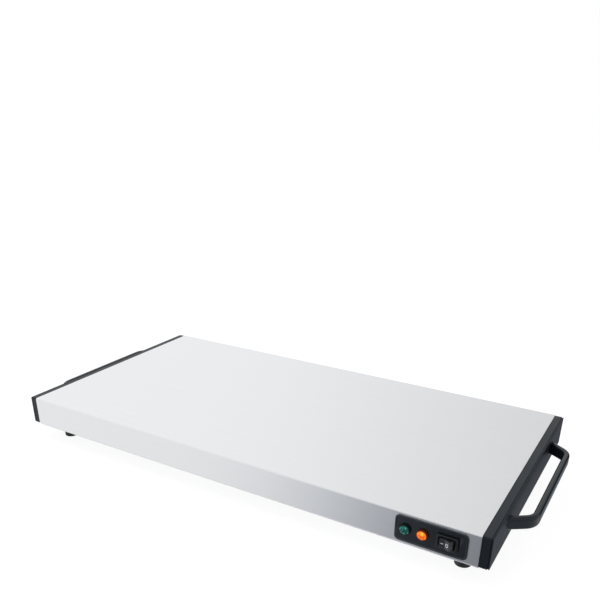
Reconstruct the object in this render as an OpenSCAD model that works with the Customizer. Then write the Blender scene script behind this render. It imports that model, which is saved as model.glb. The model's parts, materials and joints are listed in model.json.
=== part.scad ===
// Electric food warmer tray: a folded steel hotplate between two moulded end caps with loop handles,
// on four tall feet, with two lamps and a rocker switch at the front right.
// X runs along the tray, -Y is the front, +Z is up. The origin is on the table, under the middle.

/* [Tray] */
// Length of the tray over its end caps
tray_l = 600; // [520:5:700]
// Depth of the tray from front to back
tray_d = 300; // [260:5:380]
// Height of the folded cover
body_h = 36; // [35.5:0.5:46]
// Height of the feet below the base plate
foot_h = 21; // [16:0.5:30]

/* [Cover] */
// Thickness of the cover's steel sheet
cover_t = 0.8; // [0.6:0.05:1]
// Outside radius of the cover's folds
bend_r = 2; // [1.5:0.1:3]
// Width of the flanges turned in under the tray
flange_w = 16; // [14:0.5:22]

/* [Base plate] */
// Thickness of the base plate
base_t = 0.8; // [0.6:0.1:1.5]
// How far the base plate stops short of the cover's front and back
base_margin = 2; // [1.5:0.5:4]
// Spacing of the base screws along the tray
base_screw_pitch = 180; // [120:5:220]
// Width of a vent slot
vent_w = 3; // [2:0.5:4]
// Length of a vent slot
vent_l = 40; // [20:1:60]
// Spacing of the vent slots
vent_pitch = 9; // [8:0.5:12]
// Vent slots in a group
vent_count = 7; // [3:1:9]
// Distance of a vent group from the middle along the tray
vent_x = 150; // [110:5:165]
// Distance of a vent group from the middle across the tray
vent_y = 50; // [40:1:55]

/* [End caps] */
// Visible width of an end cap
cap_w = 10.2; // [9:0.2:16]
// How far the cap stands inside the cover's outline
cap_inset = 0.6; // [0.3:0.1:0.8]
// Wall of the cap
cap_wall = 2.4; // [1.8:0.1:3.2]
// Depth of the tongue that enters the cover
tongue_l = 12; // [10:0.5:16]
// Width of the shadow step round the cap's outer edge
step_w = 1; // [0.6:0.1:2]
// Depth of the shadow step round the cap's outer edge
step_d = 0.5; // [0.2:0.1:1]
// Outside corner radius of the cap
cap_r = 1.4; // [1:0.1:2]

/* [Handles] */
// How far a handle stands out from its cap
handle_out = 24; // [22:0.5:40]
// Length of a handle over its legs, at the cap
handle_l = 190; // [120:5:220]
// Lean of a handle's legs towards each other
handle_lean = 35; // [0:1:38]
// Thickness of the handle bar
handle_t = 7; // [6.6:0.1:9]
// Height of the handle bar
handle_h = 14; // [12:0.2:18]
// Bend radius of the handle's middle line
handle_r = 17; // [14:0.5:18]
// Edge radius of the handle bar
handle_edge = 3; // [2:0.1:3.2]
// Height of the handle above the middle of the cover
handle_rise = 1.5; // [0:0.5:3]

/* [Feet] */
// Diameter of a foot
foot_dia = 17; // [14:0.5:24]
// Distance of a foot from the tray's ends
foot_end = 31.5; // [24:0.5:60]
// Distance of a foot from the front and back
foot_side = 30.5; // [26:0.5:60]
// Chamfer round the foot's sole
foot_chamfer = 0.5; // [0.5:0.1:1.5]
// Height of the screw seat inside a foot
foot_seat = 8; // [5:0.5:12]

/* [Control panel] */
// Width of the panel
panel_w = 72; // [68:0.5:80]
// Height of the panel
panel_h = 28.5; // [26:0.5:30]
// Corner radius of the panel
panel_r = 5; // [2.5:0.5:6]
// How far the panel stands proud of the cover
panel_proud = 1.2; // [0.8:0.1:1.6]
// Lip of the panel that lies on the cover
panel_lip = 2.5; // [1.5:0.1:3]
// Distance from the tray's end to the middle of the panel
panel_end = 57; // [54:0.5:120]

/* [Lamps] */
// Diameter of a lamp's lens
lens_dia = 12; // [11:0.2:13]
// How far a lens stands out of the panel
lens_out = 4; // [3:0.1:6]
// Diameter of the lamp's stem behind the panel
stem_dia = 9.8; // [9:0.1:10.4]
// Length of the lamp's stem behind the panel's face
stem_l = 18; // [14:0.5:22]
// Distance from the panel's left edge to the first lamp
lamp_first = 10.7; // [9:0.1:11]
// Distance between the lamps
lamp_pitch = 17.5; // [16:0.1:18.4]

/* [Switch] */
// Width of the switch's frame
frame_w = 21; // [20.6:0.1:22]
// Height of the switch's frame
frame_h = 15; // [14.6:0.1:16]
// Thickness of the frame in front of the panel
frame_t = 2; // [1.6:0.1:2.4]
// Distance from the frame to the panel's right edge
frame_edge = 9; // [5:0.1:10]
// Width of the switch's body behind the panel
housing_w = 19; // [18:0.1:19.4]
// Height of the switch's body behind the panel
housing_h = 12.9; // [12.7:0.1:13.4]
// Depth of the switch's body behind the panel's face
housing_d = 13.5; // [13.2:0.1:16]
// Half the angle between the switch's two positions
rocker_tilt = 14; // [10:0.5:15]
// Width of the rocker
rocker_w = 13.2; // [12:0.1:13.4]
// Height of the rocker
rocker_h = 9.8; // [8:0.1:10]
// Height of the rocker's tips over its pivot
rocker_tip = 5.2; // [4.2:0.1:5.6]
// How far the rocker's tips stand in from its ends
rocker_end = 1.2; // [0:0.1:1.6]
// Slope of the rocker's two wings
rocker_wing = 13.5; // [10:0.5:20]
// Half the angle through which the contact lever tips
lever_tilt = 9; // [6:0.5:10]
// Half the length of the contact lever
lever_half = 5.4; // [5:0.1:5.6]

/* [Heater] */
// Distance from the cover's end to the heating pack
heat_end = 25; // [22:0.5:60]
// Distance from the cover's front and back to the heating pack
heat_side = 35; // [30:0.5:50]
// Thickness of a mica sheet
mica_t = 0.5; // [0.3:0.1:0.8]
// Thickness of the heating ribbon
ribbon_t = 0.4; // [0.3:0.1:0.6]
// Width of the heating ribbon
ribbon_w = 4; // [2:0.1:4.2]
// Spacing of the ribbon's passes
ribbon_pitch = 9; // [9:0.5:12]
// Thickness of the pressure plate
press_t = 1; // [0.8:0.1:1.5]
// Thickness of the insulation mat
mat_t = 10; // [8:0.5:11]
// Thickness of the heat shield
shield_t = 0.6; // [0.5:0.1:0.8]
// Distance of the outer studs from the heating pack's ends
stud_end = 30; // [24:1:40]

/* [Controls] */
// Distance of the thermostat from the middle along the tray
thermostat_x = 120; // [110:1:150]
// Radius of the thermostat's body
thermostat_r = 7.8; // [7:0.1:9]
// Distance of the thermal fuse from the middle along the tray
fuse_x = -120; // [-150:1:-110]
// Radius of the thermal fuse
fuse_r = 2.1; // [1.8:0.1:2.5]
// Distance from the tray's end to the terminal block
block_end = 120; // [110:1:130]
// Distance from the back to the terminal block
block_back = 45; // [42:0.5:50]
// Spacing of the terminals in the block
terminal_pitch = 11; // [10.5:0.5:12]
// Bore of the cord gland
gland_bore = 7.2; // [6:0.1:8]
// How far the gland stands out at the back
gland_out = 7.3; // [6:0.1:9]
// Diameter of the gland's thread
gland_thread = 15; // [14:0.1:16]

/* [Fasteners and fits] */
// Shank diameter of the small screws
screw_dia = 3; // [2.6:0.1:3.2]
// Shank diameter of the studs and of the foot screws
stud_dia = 4; // [3.6:0.1:4.2]
// Clearance between parts that are pushed together
fit_gap = 0.2; // [0.1:0.05:0.3]
// Clearance between a screw and its hole
hole_gap = 0.3; // [0.2:0.05:0.4]
// Clearance between a screw and the bore that holds it
thread_gap = 0.05; // [0.02:0.01:0.1]
// Radial clearance of the hinge pins
pin_gap = 0.05; // [0.02:0.01:0.09]
// Clearance between moving parts
run_gap = 0.3; // [0.25:0.05:0.4]
// Diameter of the internal wires over their insulation
wire_dia = 2.2; // [1.6:0.1:2.6]

/* [Hidden] */
$fn = 48;
e = 0.01;

// heights
base_z = foot_h;
cover_z0 = base_z + base_t;
cover_z1 = cover_z0 + body_h;
mid_z = cover_z0 + body_h/2;
floor_z = cover_z0;

// cover and base plate
cover_l = tray_l - 2*cap_w;
front_y = -tray_d/2;
back_y = tray_d/2;
base_d = tray_d - 2*base_margin;
flange_y = tray_d/2 - flange_w/2;

// end caps
tongue_in = cover_t + fit_gap;
cavity_in = tongue_in + cap_wall;
cap_x0 = tray_l/2 - cap_w;
cap_screw_x = cap_x0 - tongue_l/2;
cap_boss_r = screw_dia/2 + 2;
cap_boss_h = 9;
cap_cavity_r = 0.6;
cap_pad_t = 2;
cap_pad_r = 5;

// handles
leg_y = handle_l/2 - handle_t/2/cos(handle_lean);
bar_x = handle_out - handle_t/2;
handle_turn = 90 - handle_lean;
bend_l = handle_r*tan(handle_turn/2);
bend_y = leg_y - bar_x*tan(handle_lean) - bend_l;
leg_l = bar_x/cos(handle_lean) - bend_l;
leg_back = handle_t/2*tan(handle_lean) + 1;
handle_enter = 0.5;
handle_slim = 0.02;
handle_z = mid_z + handle_rise;
handle_bore_l = 5;
handle_screw_y = leg_y - handle_bore_l/2*tan(handle_lean);

// fasteners
screw_r = screw_dia/2;
screw_head_r = screw_dia;
screw_head_h = 1.8;
stud_r = stud_dia/2;
nut_r = stud_dia*0.875/cos(30);
nut_h = 3.2;
nut_tail = 1;
tip_room = 1;
base_screw_l = base_t + cover_t + 5.4;

// feet
foot_x = tray_l/2 - foot_end;
foot_y = tray_d/2 - foot_side;
foot_head_r = stud_dia*0.95;
foot_head_h = 2.4;

// control panel
panel_x = tray_l/2 - panel_end;
panel_y = front_y - panel_proud;
panel_t = panel_proud + cover_t;
insert_w = panel_w - 2*panel_lip;
insert_h = panel_h - 2*panel_lip;
hook_x = panel_w*0.28;
hook_w = 6;
hook_t = 1.4;
hook_tail = 3;
hook_catch = 0.8;
green_x = panel_x - panel_w/2 + lamp_first;
orange_x = green_x + lamp_pitch;
switch_x = panel_x + panel_w/2 - frame_edge - frame_w/2;

// lamps
stem_r = stem_dia/2;
stem_wall = 0.9;
clip_t = 0.6;
clip_rim = 2.6;
lens_rim_h = 1.2;
lens_step = 0.4;
lamp_back_t = 2;
lamp_blade_x = 2.2;
lamp_blade_t = 0.5;
lamp_blade_w = 2.8;
bulb_r = 2.4;
bulb_l = stem_l - 4;
lamp_tab_l = 6;

// switch, from its pivot on the panel's face
housing_wall = 1.1;
side_gap = (housing_h - rocker_h)/2 - housing_wall;
opening_h = rocker_h + 2*side_gap;
rocker_deep = 3.6;
rocker_shoulder = 1.2;
rocker_reach = rocker_w/2*cos(rocker_tilt) + max(rocker_deep*sin(rocker_tilt),
    (frame_t + rocker_w/2*sin(rocker_tilt))*tan(rocker_tilt));
opening_w = 2*(rocker_reach + run_gap);
frame_r = 1.5;
snap_w = 6;
snap_out = 0.7;
snap_l = 3.5;
trunnion_r = 1.3;
trunnion_in = 0.5;
trunnion_l = side_gap + trunnion_in;
rocker_boss_r = 1.9;
rocker_boss_l = 1.6;
plunger_r = 1.1;
plunger_tip = 8.1;
spring_y = 1.2;
spring_l = 2.6;
lever_t = 0.6;
lever_w = 3.2;
lever_hub_r = 1.3;
lever_pin_r = 0.75;
arm_out = lever_hub_r - lever_t/2;
lever_y = plunger_tip + run_gap + lever_t/2 + arm_out;
cheek_t = 0.5;
cheek_w = 2;
yoke_w = 3.2;
tab_w = 4.8;
tab_t = 0.8;
tab_l = 7.5;
housing_floor = 1.5;
floor_y = housing_d - housing_floor;
contact_x = lever_half - tab_t - 0.1;
contact_y = lever_y - (arm_out - lever_t/2)/cos(lever_tilt)
    + (contact_x + tab_t/2)*tan(lever_tilt) + run_gap;

// heating pack, from the cover's underside down
under_z = cover_z1 - cover_t;
ribbon_z = under_z - mica_t;
lower_z = ribbon_z - ribbon_t;
press_z = lower_z - mica_t;
mat_z = press_z - press_t;
shield_z = mat_z - mat_t;
shield_z0 = shield_z - shield_t;
heat_l = cover_l - 2*heat_end;
heat_d = tray_d - 2*heat_side;
ribbon_margin = 16;
ribbon_turn = 14;
passes = 2*floor((heat_d - 2*ribbon_margin + ribbon_pitch)/ribbon_pitch/2);
ribbon_x = heat_l/2 - ribbon_turn;
stud_y = ribbon_pitch*(passes/2 - 2);
stud_x = heat_l/2 - stud_end;
STUDS = [for (i = [-3:2:3]) for (s = [-1, 1]) [i*stud_x/3, s*stud_y]];
mat_hole_r = nut_r + 1;
spacer_r = stud_r + 1.2;
tag_w = 6;
tag_drop = 12;
tag_x = heat_l/2 + 3;
tag_y = ribbon_pitch*(passes - 1)/2;

// thermostat and fuse, below the pressure plate
ear_t = 0.8;
ear_w = 9;
ear_pitch = thermostat_r + 4;
ear_l = 2*ear_pitch + 7;
cup_h = 3;
cup_rim = 0.5;
body_l = 7;
rivet_r = 1.5;
rivet_head_r = 2.6;
rivet_head_h = 0.9;
blade_w = 6.3;
blade_t = 0.8;
blade_l = 7;
blade_x = thermostat_r/2;
blade_z = mat_z - ear_t - cup_h - body_l - blade_l;
fuse_l = 12;
fuse_lead_r = 0.5;
fuse_lead_l = 9;
clip_w = 6;
clip_sheet = 0.5;
clip_rivet_y = fuse_r + clip_sheet + rivet_head_r + 0.4;
window_room = 2;
lead_room = 14;
fuse_window_l = fuse_l + 2*(fuse_lead_l + lead_room);
fuse_window_w = 2*(clip_rivet_y + rivet_head_r + window_room);

// terminal block, gland and earth stud
block_x = tray_l/2 - block_end;
block_y = back_y - block_back;
block_l = 3*terminal_pitch + 5;
block_w = 18;
block_h = 15;
block_bore_l = block_h - 4;
terminal_z = floor_z + 7;
terminal_screw_r = 0.75*screw_head_r;
terminal_screw_h = 4;
terminal_slot = 0.8;
sleeve_r = 2.2;
sleeve_bore = wire_dia/2 + 2*fit_gap;
gland_r = gland_thread/2 + 2.5;
gland_step = 1;
gland_in = 12;
gland_nut_r = gland_thread/2 + 3.5;
gland_nut_t = 4.5;
earth_x = block_x + block_l/2 + 16;
earth_h = 12;
earth_tag_t = 0.8;
earth_ring_r = 4.2;
earth_barrel_r = wire_dia/2 + 0.5;
earth_barrel_l = 4;
earth_neck_w = 2.8;
earth_end = earth_ring_r + earth_barrel_l + 2;

// wire routes: hand-set bends between the ends, which are tied to what they join
wire_r = wire_dia/2;
thin_r = 0.8;
wire_z = floor_z + 6;
enter = 3;
run = 4;
tab_end = panel_y + housing_d + tab_l;
blade_end = panel_y + stem_l + lamp_back_t + lamp_tab_l;
piggy_z = mid_z + wire_r + thin_r + 0.05;
block_front = block_y - block_w/2;
fuse_end = fuse_l/2 + fuse_lead_l;
fuse_z = mat_z - fuse_r;
tag_end_z = lower_z - tag_drop;
LIVE = [[block_x, block_front + enter, terminal_z], [block_x, block_front - run, terminal_z],
    [block_x + 20, block_front - 30, wire_z], [switch_x - 15, 10, wire_z],
    [switch_x + 8, front_y + 90, wire_z], [switch_x + contact_x, tab_end + 10, mid_z - 2],
    [switch_x + contact_x, tab_end + run, mid_z], [switch_x + contact_x, tab_end, mid_z]];
SWITCHED = [[switch_x, tab_end, mid_z], [switch_x, tab_end + run, mid_z],
    [switch_x - 20, front_y + 62, wire_z], [(switch_x + thermostat_x)/2, -40, wire_z],
    [thermostat_x + blade_x + 12, -6, wire_z], [thermostat_x + blade_x, 0, blade_z - run],
    [thermostat_x + blade_x, 0, blade_z]];
FUSE = [[thermostat_x - blade_x, 0, blade_z], [thermostat_x - blade_x, 0, blade_z - run],
    [thermostat_x - 30, 6, wire_z], [0, 14, wire_z], [fuse_x + fuse_end + 22, 4, wire_z],
    [fuse_x + fuse_end + 8, 0, shield_z0 - 4], [fuse_x + fuse_end + run, 0, fuse_z],
    [fuse_x + fuse_end, 0, fuse_z]];
HEATER = [[fuse_x - fuse_end, 0, fuse_z], [fuse_x - fuse_end - run, 0, fuse_z],
    [fuse_x - fuse_end - 8, 0, shield_z0 - 4], [fuse_x - fuse_end - 22, -8, wire_z],
    [-tag_x + 40, 30 - tag_y, wire_z], [-tag_x, -tag_y, tag_end_z - run], [-tag_x, -tag_y, tag_end_z]];
NEUTRAL = [[block_x - terminal_pitch, block_front + enter, terminal_z],
    [block_x - terminal_pitch, block_front - run, terminal_z],
    [block_x - 50, block_front - 26, wire_z], [0, tag_y - 20, wire_z],
    [-tag_x + 40, tag_y - 14, wire_z], [-tag_x, tag_y, tag_end_z - run], [-tag_x, tag_y, tag_end_z]];
EARTH = [[block_x + terminal_pitch, block_front + enter, terminal_z],
    [block_x + terminal_pitch, block_front - run, terminal_z],
    [(block_x + terminal_pitch + earth_x)/2, block_front - 16, floor_z + 4],
    [earth_x, block_y - earth_end - run, floor_z + earth_barrel_r],
    [earth_x, block_y - earth_end, floor_z + earth_barrel_r]];
LAMP_LINK = [[green_x + lamp_blade_x, blade_end, mid_z],
    [green_x + lamp_blade_x, blade_end + 1, mid_z], [(green_x + orange_x)/2, blade_end + 6, mid_z],
    [orange_x - lamp_blade_x, blade_end + 1, mid_z], [orange_x - lamp_blade_x, blade_end, mid_z]];
LAMP_SWITCHED = [[orange_x + lamp_blade_x, blade_end, mid_z],
    [orange_x + lamp_blade_x, blade_end + 1, mid_z],
    [(orange_x + switch_x)/2 + 2, blade_end + 5, piggy_z], [switch_x, tab_end + 1, piggy_z],
    [switch_x, tab_end, piggy_z]];

// ---- shared shapes ----

// rectangle with round corners, centred
module rrect(w, h, r) {
    square([w - 2*r, h], center = true);
    square([w, h - 2*r], center = true);
    for (x = [-1, 1], y = [-1, 1]) translate([x*(w/2 - r), y*(h/2 - r)]) circle(r);
}

// an outline in Y and Z, carried along X from x0 over a length l
module along_x(x0, l) {
    translate([x0, 0, 0]) rotate([90, 0, 90]) linear_extrude(l) children();
}

// an outline in X and Z, carried along Y from y0 over a length l
module along_y(y0, l) {
    translate([0, y0 + l, 0]) rotate([90, 0, 0]) linear_extrude(l) children();
}

// round bar along Y
module bar_y(r, y0, l) {
    translate([0, y0, 0]) rotate([-90, 0, 0]) cylinder(r = r, h = l);
}

// cross recess in a screw's head, at the origin, sunk along +Z
module cross_recess(size, deep) {
    for (a = [0, 90]) rotate(a) translate([-size/2, -size/8, -e]) cube([size, size/4, deep + e]);
}

// pan-head screw pointing up: its head is below z = 0, its shank above
module screw(r, head_r, head_h, l) {
    difference() {
        union() {
            translate([0, 0, -head_h]) cylinder(r = head_r, h = head_h);
            cylinder(r = r, h = l);
        }
        translate([0, 0, -head_h]) cross_recess(head_r*1.3, head_h*0.6);
    }
}

// hexagon nut on a stud, its bottom on z = 0
module hex_nut(r, h, bore) {
    difference() {
        cylinder(r = r, h = h, $fn = 6);
        translate([0, 0, -e]) cylinder(r = bore, h = h + 2*e);
    }
}

// a point for each of the four corners of a rectangle about the middle
module four(x, y) {
    for (i = [-1, 1], j = [-1, 1]) translate([i*x, j*y, 0]) children();
}

function unit(v) = v/norm(v);
function spline(a, b, c, d, t) = 0.5*(2*b + (c - a)*t + (2*a - 5*b + 4*c - d)*t*t
    + (3*b - a - 3*c + d)*t*t*t);
// a smooth line through points P, straight in its first and last stretch, with n steps in the others
function smooth(P, n) = let (m = len(P) - 1,
    first = P[2] - 2*norm(P[2] - P[1])*unit(P[1] - P[0]),
    last = P[m - 2] + 2*norm(P[m - 1] - P[m - 2])*unit(P[m] - P[m - 1]))
    [P[0], for (i = [1:m - 2]) for (k = [0:n - 1]) spline(i == 1 ? first : P[i - 1], P[i], P[i + 1],
        i == m - 2 ? last : P[i + 2], k/n), P[m - 1], P[m]];
function tangents(Q) = [for (i = [0:len(Q) - 1])
    unit(Q[min(i + 1, len(Q) - 1)] - Q[max(i - 1, 0)])];
function square_to(n, t) = unit(n - (n*t)*t);
// normals carried along the line without twist
function normals(T, n0) = [for (i = 0, n = square_to(n0, T[0]); i < len(T);
    i = i + 1, n = i < len(T) ? square_to(n, T[i]) : n) n];

// round tube of radius r along the points Q, with s sides
module tube(Q, r, s, n0 = [0.31, 0.42, 0.85]) {
    T = tangents(Q);
    N = normals(T, n0);
    points = [for (i = [0:len(Q) - 1]) for (k = [0:s - 1])
        Q[i] + r*(cos(360*k/s)*N[i] + sin(360*k/s)*cross(T[i], N[i]))];
    sides = [for (i = [0:len(Q) - 2]) for (k = [0:s - 1])
        let (a = i*s + k, b = i*s + (k + 1)%s)
        each [[a, b + s, b], [a, a + s, b + s]]];
    start = [for (k = [1:s - 2]) [0, k, k + 1]];
    last = (len(Q) - 1)*s;
    end = [for (k = [1:s - 2]) [last, last + k + 1, last + k]];
    polyhedron(points, concat(sides, start, end));
}

module wire(P) {
    tube(smooth(P, 6), wire_r, 8);
}

// ---- casing ----

module top_cover() {
    color("#dcdee0") difference() {
        along_x(-cover_l/2, cover_l) translate([0, mid_z]) difference() {
            rrect(tray_d, body_h, bend_r);
            rrect(tray_d - 2*cover_t, body_h - 2*cover_t, bend_r - cover_t);
            translate([0, -body_h/2]) square([tray_d - 2*flange_w, 4*cover_t], center = true);
        }
        translate([panel_x, 0, mid_z]) along_y(front_y - e, cover_t + 2*e)
            rrect(insert_w + 2*fit_gap, insert_h + 2*fit_gap, panel_r - 1);
        translate([block_x, 0, mid_z]) bar_y(gland_thread/2 + fit_gap, back_y - cover_t - e,
            cover_t + 2*e);
        screw_holes(screw_r + thread_gap, cover_z0, cover_t);
    }
}

// the holes of the base screws and cap screws through a sheet at height z
module screw_holes(r, z, t) {
    for (i = [-1:1], s = [-1, 1]) translate([i*base_screw_pitch, s*flange_y, z - e])
        cylinder(r = r, h = t + 2*e);
    translate([0, 0, z - e]) four(cap_screw_x, flange_y) cylinder(r = r, h = t + 2*e);
}

module base_plate() {
    color("#a9adb0") difference() {
        translate([-cover_l/2, -base_d/2, base_z]) cube([cover_l, base_d, base_t]);
        screw_holes(screw_r + hole_gap, base_z, base_t);
        translate([0, 0, base_z - e]) four(foot_x, foot_y)
            cylinder(r = stud_r + hole_gap, h = base_t + 2*e);
        block_screw_places() translate([0, 0, base_z - e])
            cylinder(r = screw_r + hole_gap, h = base_t + 2*e);
        vents();
    }
}

module vents() {
    translate([0, 0, base_z - e]) linear_extrude(base_t + 2*e)
        for (gx = [-1, 1], gy = [-1, 1], i = [0:vent_count - 1])
            translate([gx*vent_x + (i - (vent_count - 1)/2)*vent_pitch, gy*vent_y])
                rrect(vent_w, vent_l, vent_w/2 - e);
}

module cap_outline(inset, r) {
    translate([0, mid_z]) rrect(tray_d - 2*inset, body_h - 2*inset, r);
}

// the right-hand cap: rim, shadow step, end wall, tongue, screw bosses and handle pads
module end_cap() {
    difference() {
        union() {
            difference() {
                union() {
                    along_x(cap_x0, cap_w - step_w) cap_outline(cap_inset, cap_r);
                    along_x(cap_x0, cap_w) cap_outline(cap_inset + step_d, cap_r);
                    along_x(cap_x0 - tongue_l, tongue_l + e) cap_outline(tongue_in, bend_r - cover_t);
                }
                along_x(cap_x0 - tongue_l - e, tongue_l + cap_w - cap_wall + e)
                    cap_outline(cavity_in, cap_cavity_r);
            }
            for (s = [-1, 1]) {
                translate([cap_screw_x, s*flange_y, cover_z0 + tongue_in + e])
                    cylinder(r = cap_boss_r, h = cap_boss_h);
                translate([tray_l/2 - cap_wall - cap_pad_t, s*handle_screw_y, handle_z])
                    rotate([0, 90, 0]) cylinder(r = cap_pad_r, h = cap_pad_t + e);
            }
        }
        for (s = [-1, 1]) {
            translate([cap_screw_x, s*flange_y, cover_z0]) cylinder(r = screw_r + thread_gap,
                h = tongue_in + cap_boss_h - tip_room);
            translate([tray_l/2 - cap_wall - cap_pad_t - e, s*handle_screw_y, handle_z])
                rotate([0, 90, 0]) cylinder(r = screw_r + hole_gap, h = cap_wall + cap_pad_t + 2*e);
        }
    }
}

module right_end_cap() {
    color("#2b2f33") end_cap();
}

module left_end_cap() {
    color("#2b2f33") mirror([1, 0, 0]) end_cap();
}

// ---- handles ----

module handle_section(slim) {
    rrect(handle_t - 2*slim, handle_h - 2*slim, handle_edge - slim);
}

// the right-hand handle: a bar, two bends, and two leaning legs cut flush with the cap; the
// straight stretches are a hair slimmer than the bends that they enter
module handle() {
    bar_l = 2*(bend_y + handle_enter);
    flush = leg_back + handle_t;
    difference() {
        translate([tray_l/2, 0, handle_z]) {
            translate([bar_x, bar_l/2, 0]) rotate([90, 0, 0])
                linear_extrude(bar_l) handle_section(handle_slim);
            for (s = [0, 1]) mirror([0, s, 0]) {
                translate([bar_x - handle_r, bend_y, 0]) rotate_extrude(angle = handle_turn)
                    translate([handle_r, 0]) handle_section(0);
                translate([0, leg_y, 0]) rotate(-handle_lean) translate([-leg_back, 0, 0])
                    rotate([90, 0, 90]) linear_extrude(leg_back + leg_l + handle_enter)
                    handle_section(handle_slim);
            }
        }
        translate([tray_l/2 - flush, -handle_l, handle_z - handle_h])
            cube([flush, 2*handle_l, 2*handle_h]);
        for (s = [-1, 1]) translate([tray_l/2 - e, s*handle_screw_y, handle_z]) rotate([0, 90, 0])
            cylinder(r = screw_r + thread_gap, h = handle_bore_l + e);
    }
}

module right_handle() {
    color("#1c1e20") handle();
}

module left_handle() {
    color("#1c1e20") mirror([1, 0, 0]) handle();
}

module handle_screws() {
    color("#b9bcbf") for (m = [0, 1], s = [-1, 1]) mirror([m, 0, 0])
        translate([tray_l/2 - cap_wall - cap_pad_t, s*handle_screw_y, handle_z]) rotate([0, 90, 0])
            screw(screw_r, screw_head_r, screw_head_h, cap_wall + cap_pad_t + handle_bore_l - tip_room);
}

// ---- screws and feet ----

module base_screws() {
    color("#b9bcbf") for (i = [-1:1], s = [-1, 1])
        translate([i*base_screw_pitch, s*flange_y, base_z])
            screw(screw_r, screw_head_r, screw_head_h, base_screw_l);
}

module cap_screws() {
    color("#b9bcbf") translate([0, 0, base_z]) four(cap_screw_x, flange_y)
        screw(screw_r, screw_head_r, screw_head_h, base_t + tongue_in + cap_boss_h - 2*tip_room);
}

module feet() {
    r = foot_dia/2;
    bore = stud_r + hole_gap;
    well = foot_head_r + 0.5;
    color("#141516") four(foot_x, foot_y) rotate_extrude() polygon([[bore, foot_seat],
        [bore, foot_h], [r, foot_h], [r, foot_chamfer], [r - foot_chamfer, 0], [well, 0],
        [well, foot_seat]]);
}

module foot_screws() {
    color("#b9bcbf") translate([0, 0, foot_seat]) four(foot_x, foot_y)
        screw(stud_r, foot_head_r, foot_head_h, foot_h - foot_seat + base_t + nut_h + nut_tail);
}

module foot_nuts() {
    color("#b9bcbf") translate([0, 0, floor_z]) four(foot_x, foot_y)
        hex_nut(nut_r, nut_h, stud_r + thread_gap);
}

// ---- control panel and lamps ----

module control_panel() {
    color("#232528") difference() {
        translate([panel_x, 0, mid_z]) {
            along_y(panel_y, panel_proud) rrect(panel_w, panel_h, panel_r);
            along_y(front_y - e, cover_t + e) rrect(insert_w, insert_h, panel_r - 1.2);
            for (x = [-1, 1], z = [0, 1]) mirror([0, 0, z]) translate([x*hook_x, 0, insert_h/2]) {
                translate([-hook_w/2, front_y, -hook_t]) cube([hook_w, cover_t + hook_tail, hook_t]);
                translate([-hook_w/2, front_y + cover_t + fit_gap, -e])
                    cube([hook_w, hook_t, fit_gap + hook_catch]);
            }
        }
        for (x = [green_x, orange_x]) translate([x, 0, mid_z])
            bar_y(stem_r + fit_gap/2, panel_y - e, panel_t + 2*e);
        translate([switch_x, 0, mid_z]) along_y(panel_y - e, panel_t + 2*e)
            square([housing_w + fit_gap, housing_h + fit_gap], center = true);
    }
}

// a lamp's lens: rim and dome on the panel, hollow stem behind them
module lens(x) {
    dome_r = lens_dia/2 - lens_step;
    dome_h = lens_out - lens_rim_h;
    ball_r = (dome_r*dome_r + dome_h*dome_h)/(2*dome_h);
    translate([x, panel_y, mid_z]) rotate([90, 0, 0]) difference() {
        union() {
            cylinder(r = lens_dia/2, h = lens_rim_h);
            intersection() {
                translate([0, 0, lens_out - ball_r]) sphere(ball_r);
                translate([0, 0, lens_rim_h - lens_step/4]) cylinder(r = lens_dia, h = lens_out);
            }
            translate([0, 0, -stem_l]) cylinder(r = stem_r, h = stem_l + e);
        }
        translate([0, 0, -stem_l - e]) cylinder(r = stem_r - stem_wall, h = stem_l + e);
    }
}

module green_lens() {
    color("#1f6e5e") lens(green_x);
}

module orange_lens() {
    color("#ff6a1e") lens(orange_x);
}

// spring washers that hold the lamps behind the panel
module lamp_clips() {
    color("#c4c6c8") for (x = [green_x, orange_x]) translate([x, 0, mid_z]) difference() {
        bar_y(stem_r + clip_rim, panel_y + panel_t, clip_t);
        bar_y(stem_r + thread_gap, panel_y + panel_t - e, clip_t + 2*e);
    }
}

module neon_bulbs() {
    color("#e8d8c8") for (x = [green_x, orange_x]) translate([x, 0, mid_z]) {
        bar_y(bulb_r, panel_y + stem_l - bulb_l + bulb_r, bulb_l - bulb_r);
        translate([0, panel_y + stem_l - bulb_l + bulb_r, 0]) sphere(bulb_r);
    }
}

// plugs that close the stems, with two blades each
module lamp_backs() {
    color("#1c1e20") for (x = [green_x, orange_x]) translate([x, 0, mid_z]) {
        bar_y(stem_r, panel_y + stem_l, lamp_back_t);
        for (s = [-1, 1]) translate([s*lamp_blade_x - lamp_blade_t/2,
            panel_y + stem_l + lamp_back_t - e, -lamp_blade_w/2])
            cube([lamp_blade_t, lamp_tab_l + e, lamp_blade_w]);
    }
}

// ---- switch ----

// the switch stands on its pivot: X along the panel, +Y inwards
module at_switch() {
    translate([switch_x, panel_y, mid_z]) children();
}

module switch_housing() {
    color("#1b1d20") at_switch() difference() {
        union() {
            along_y(-frame_t, frame_t) rrect(frame_w, frame_h, frame_r);
            along_y(-e, housing_d + e) square([housing_w, housing_h], center = true);
            for (m = [0, 1]) mirror([m, 0, 0]) translate([housing_w/2 - e, 0, -snap_w/2])
                linear_extrude(snap_w) polygon([[0, panel_t + fit_gap/2],
                    [snap_out, panel_t + fit_gap/2], [0, panel_t + snap_l]]);
        }
        along_y(-frame_t - e, frame_t + floor_y + e)
            square([opening_w, opening_h], center = true);
        cylinder(r = trunnion_r + pin_gap, h = opening_h + 2*(trunnion_in + fit_gap), center = true);
        for (x = [0, contact_x]) translate([x, 0, 0]) along_y(floor_y - e, housing_floor + 2*e)
            square([tab_t + 2*thread_gap, tab_w + 2*thread_gap], center = true);
    }
}

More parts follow.
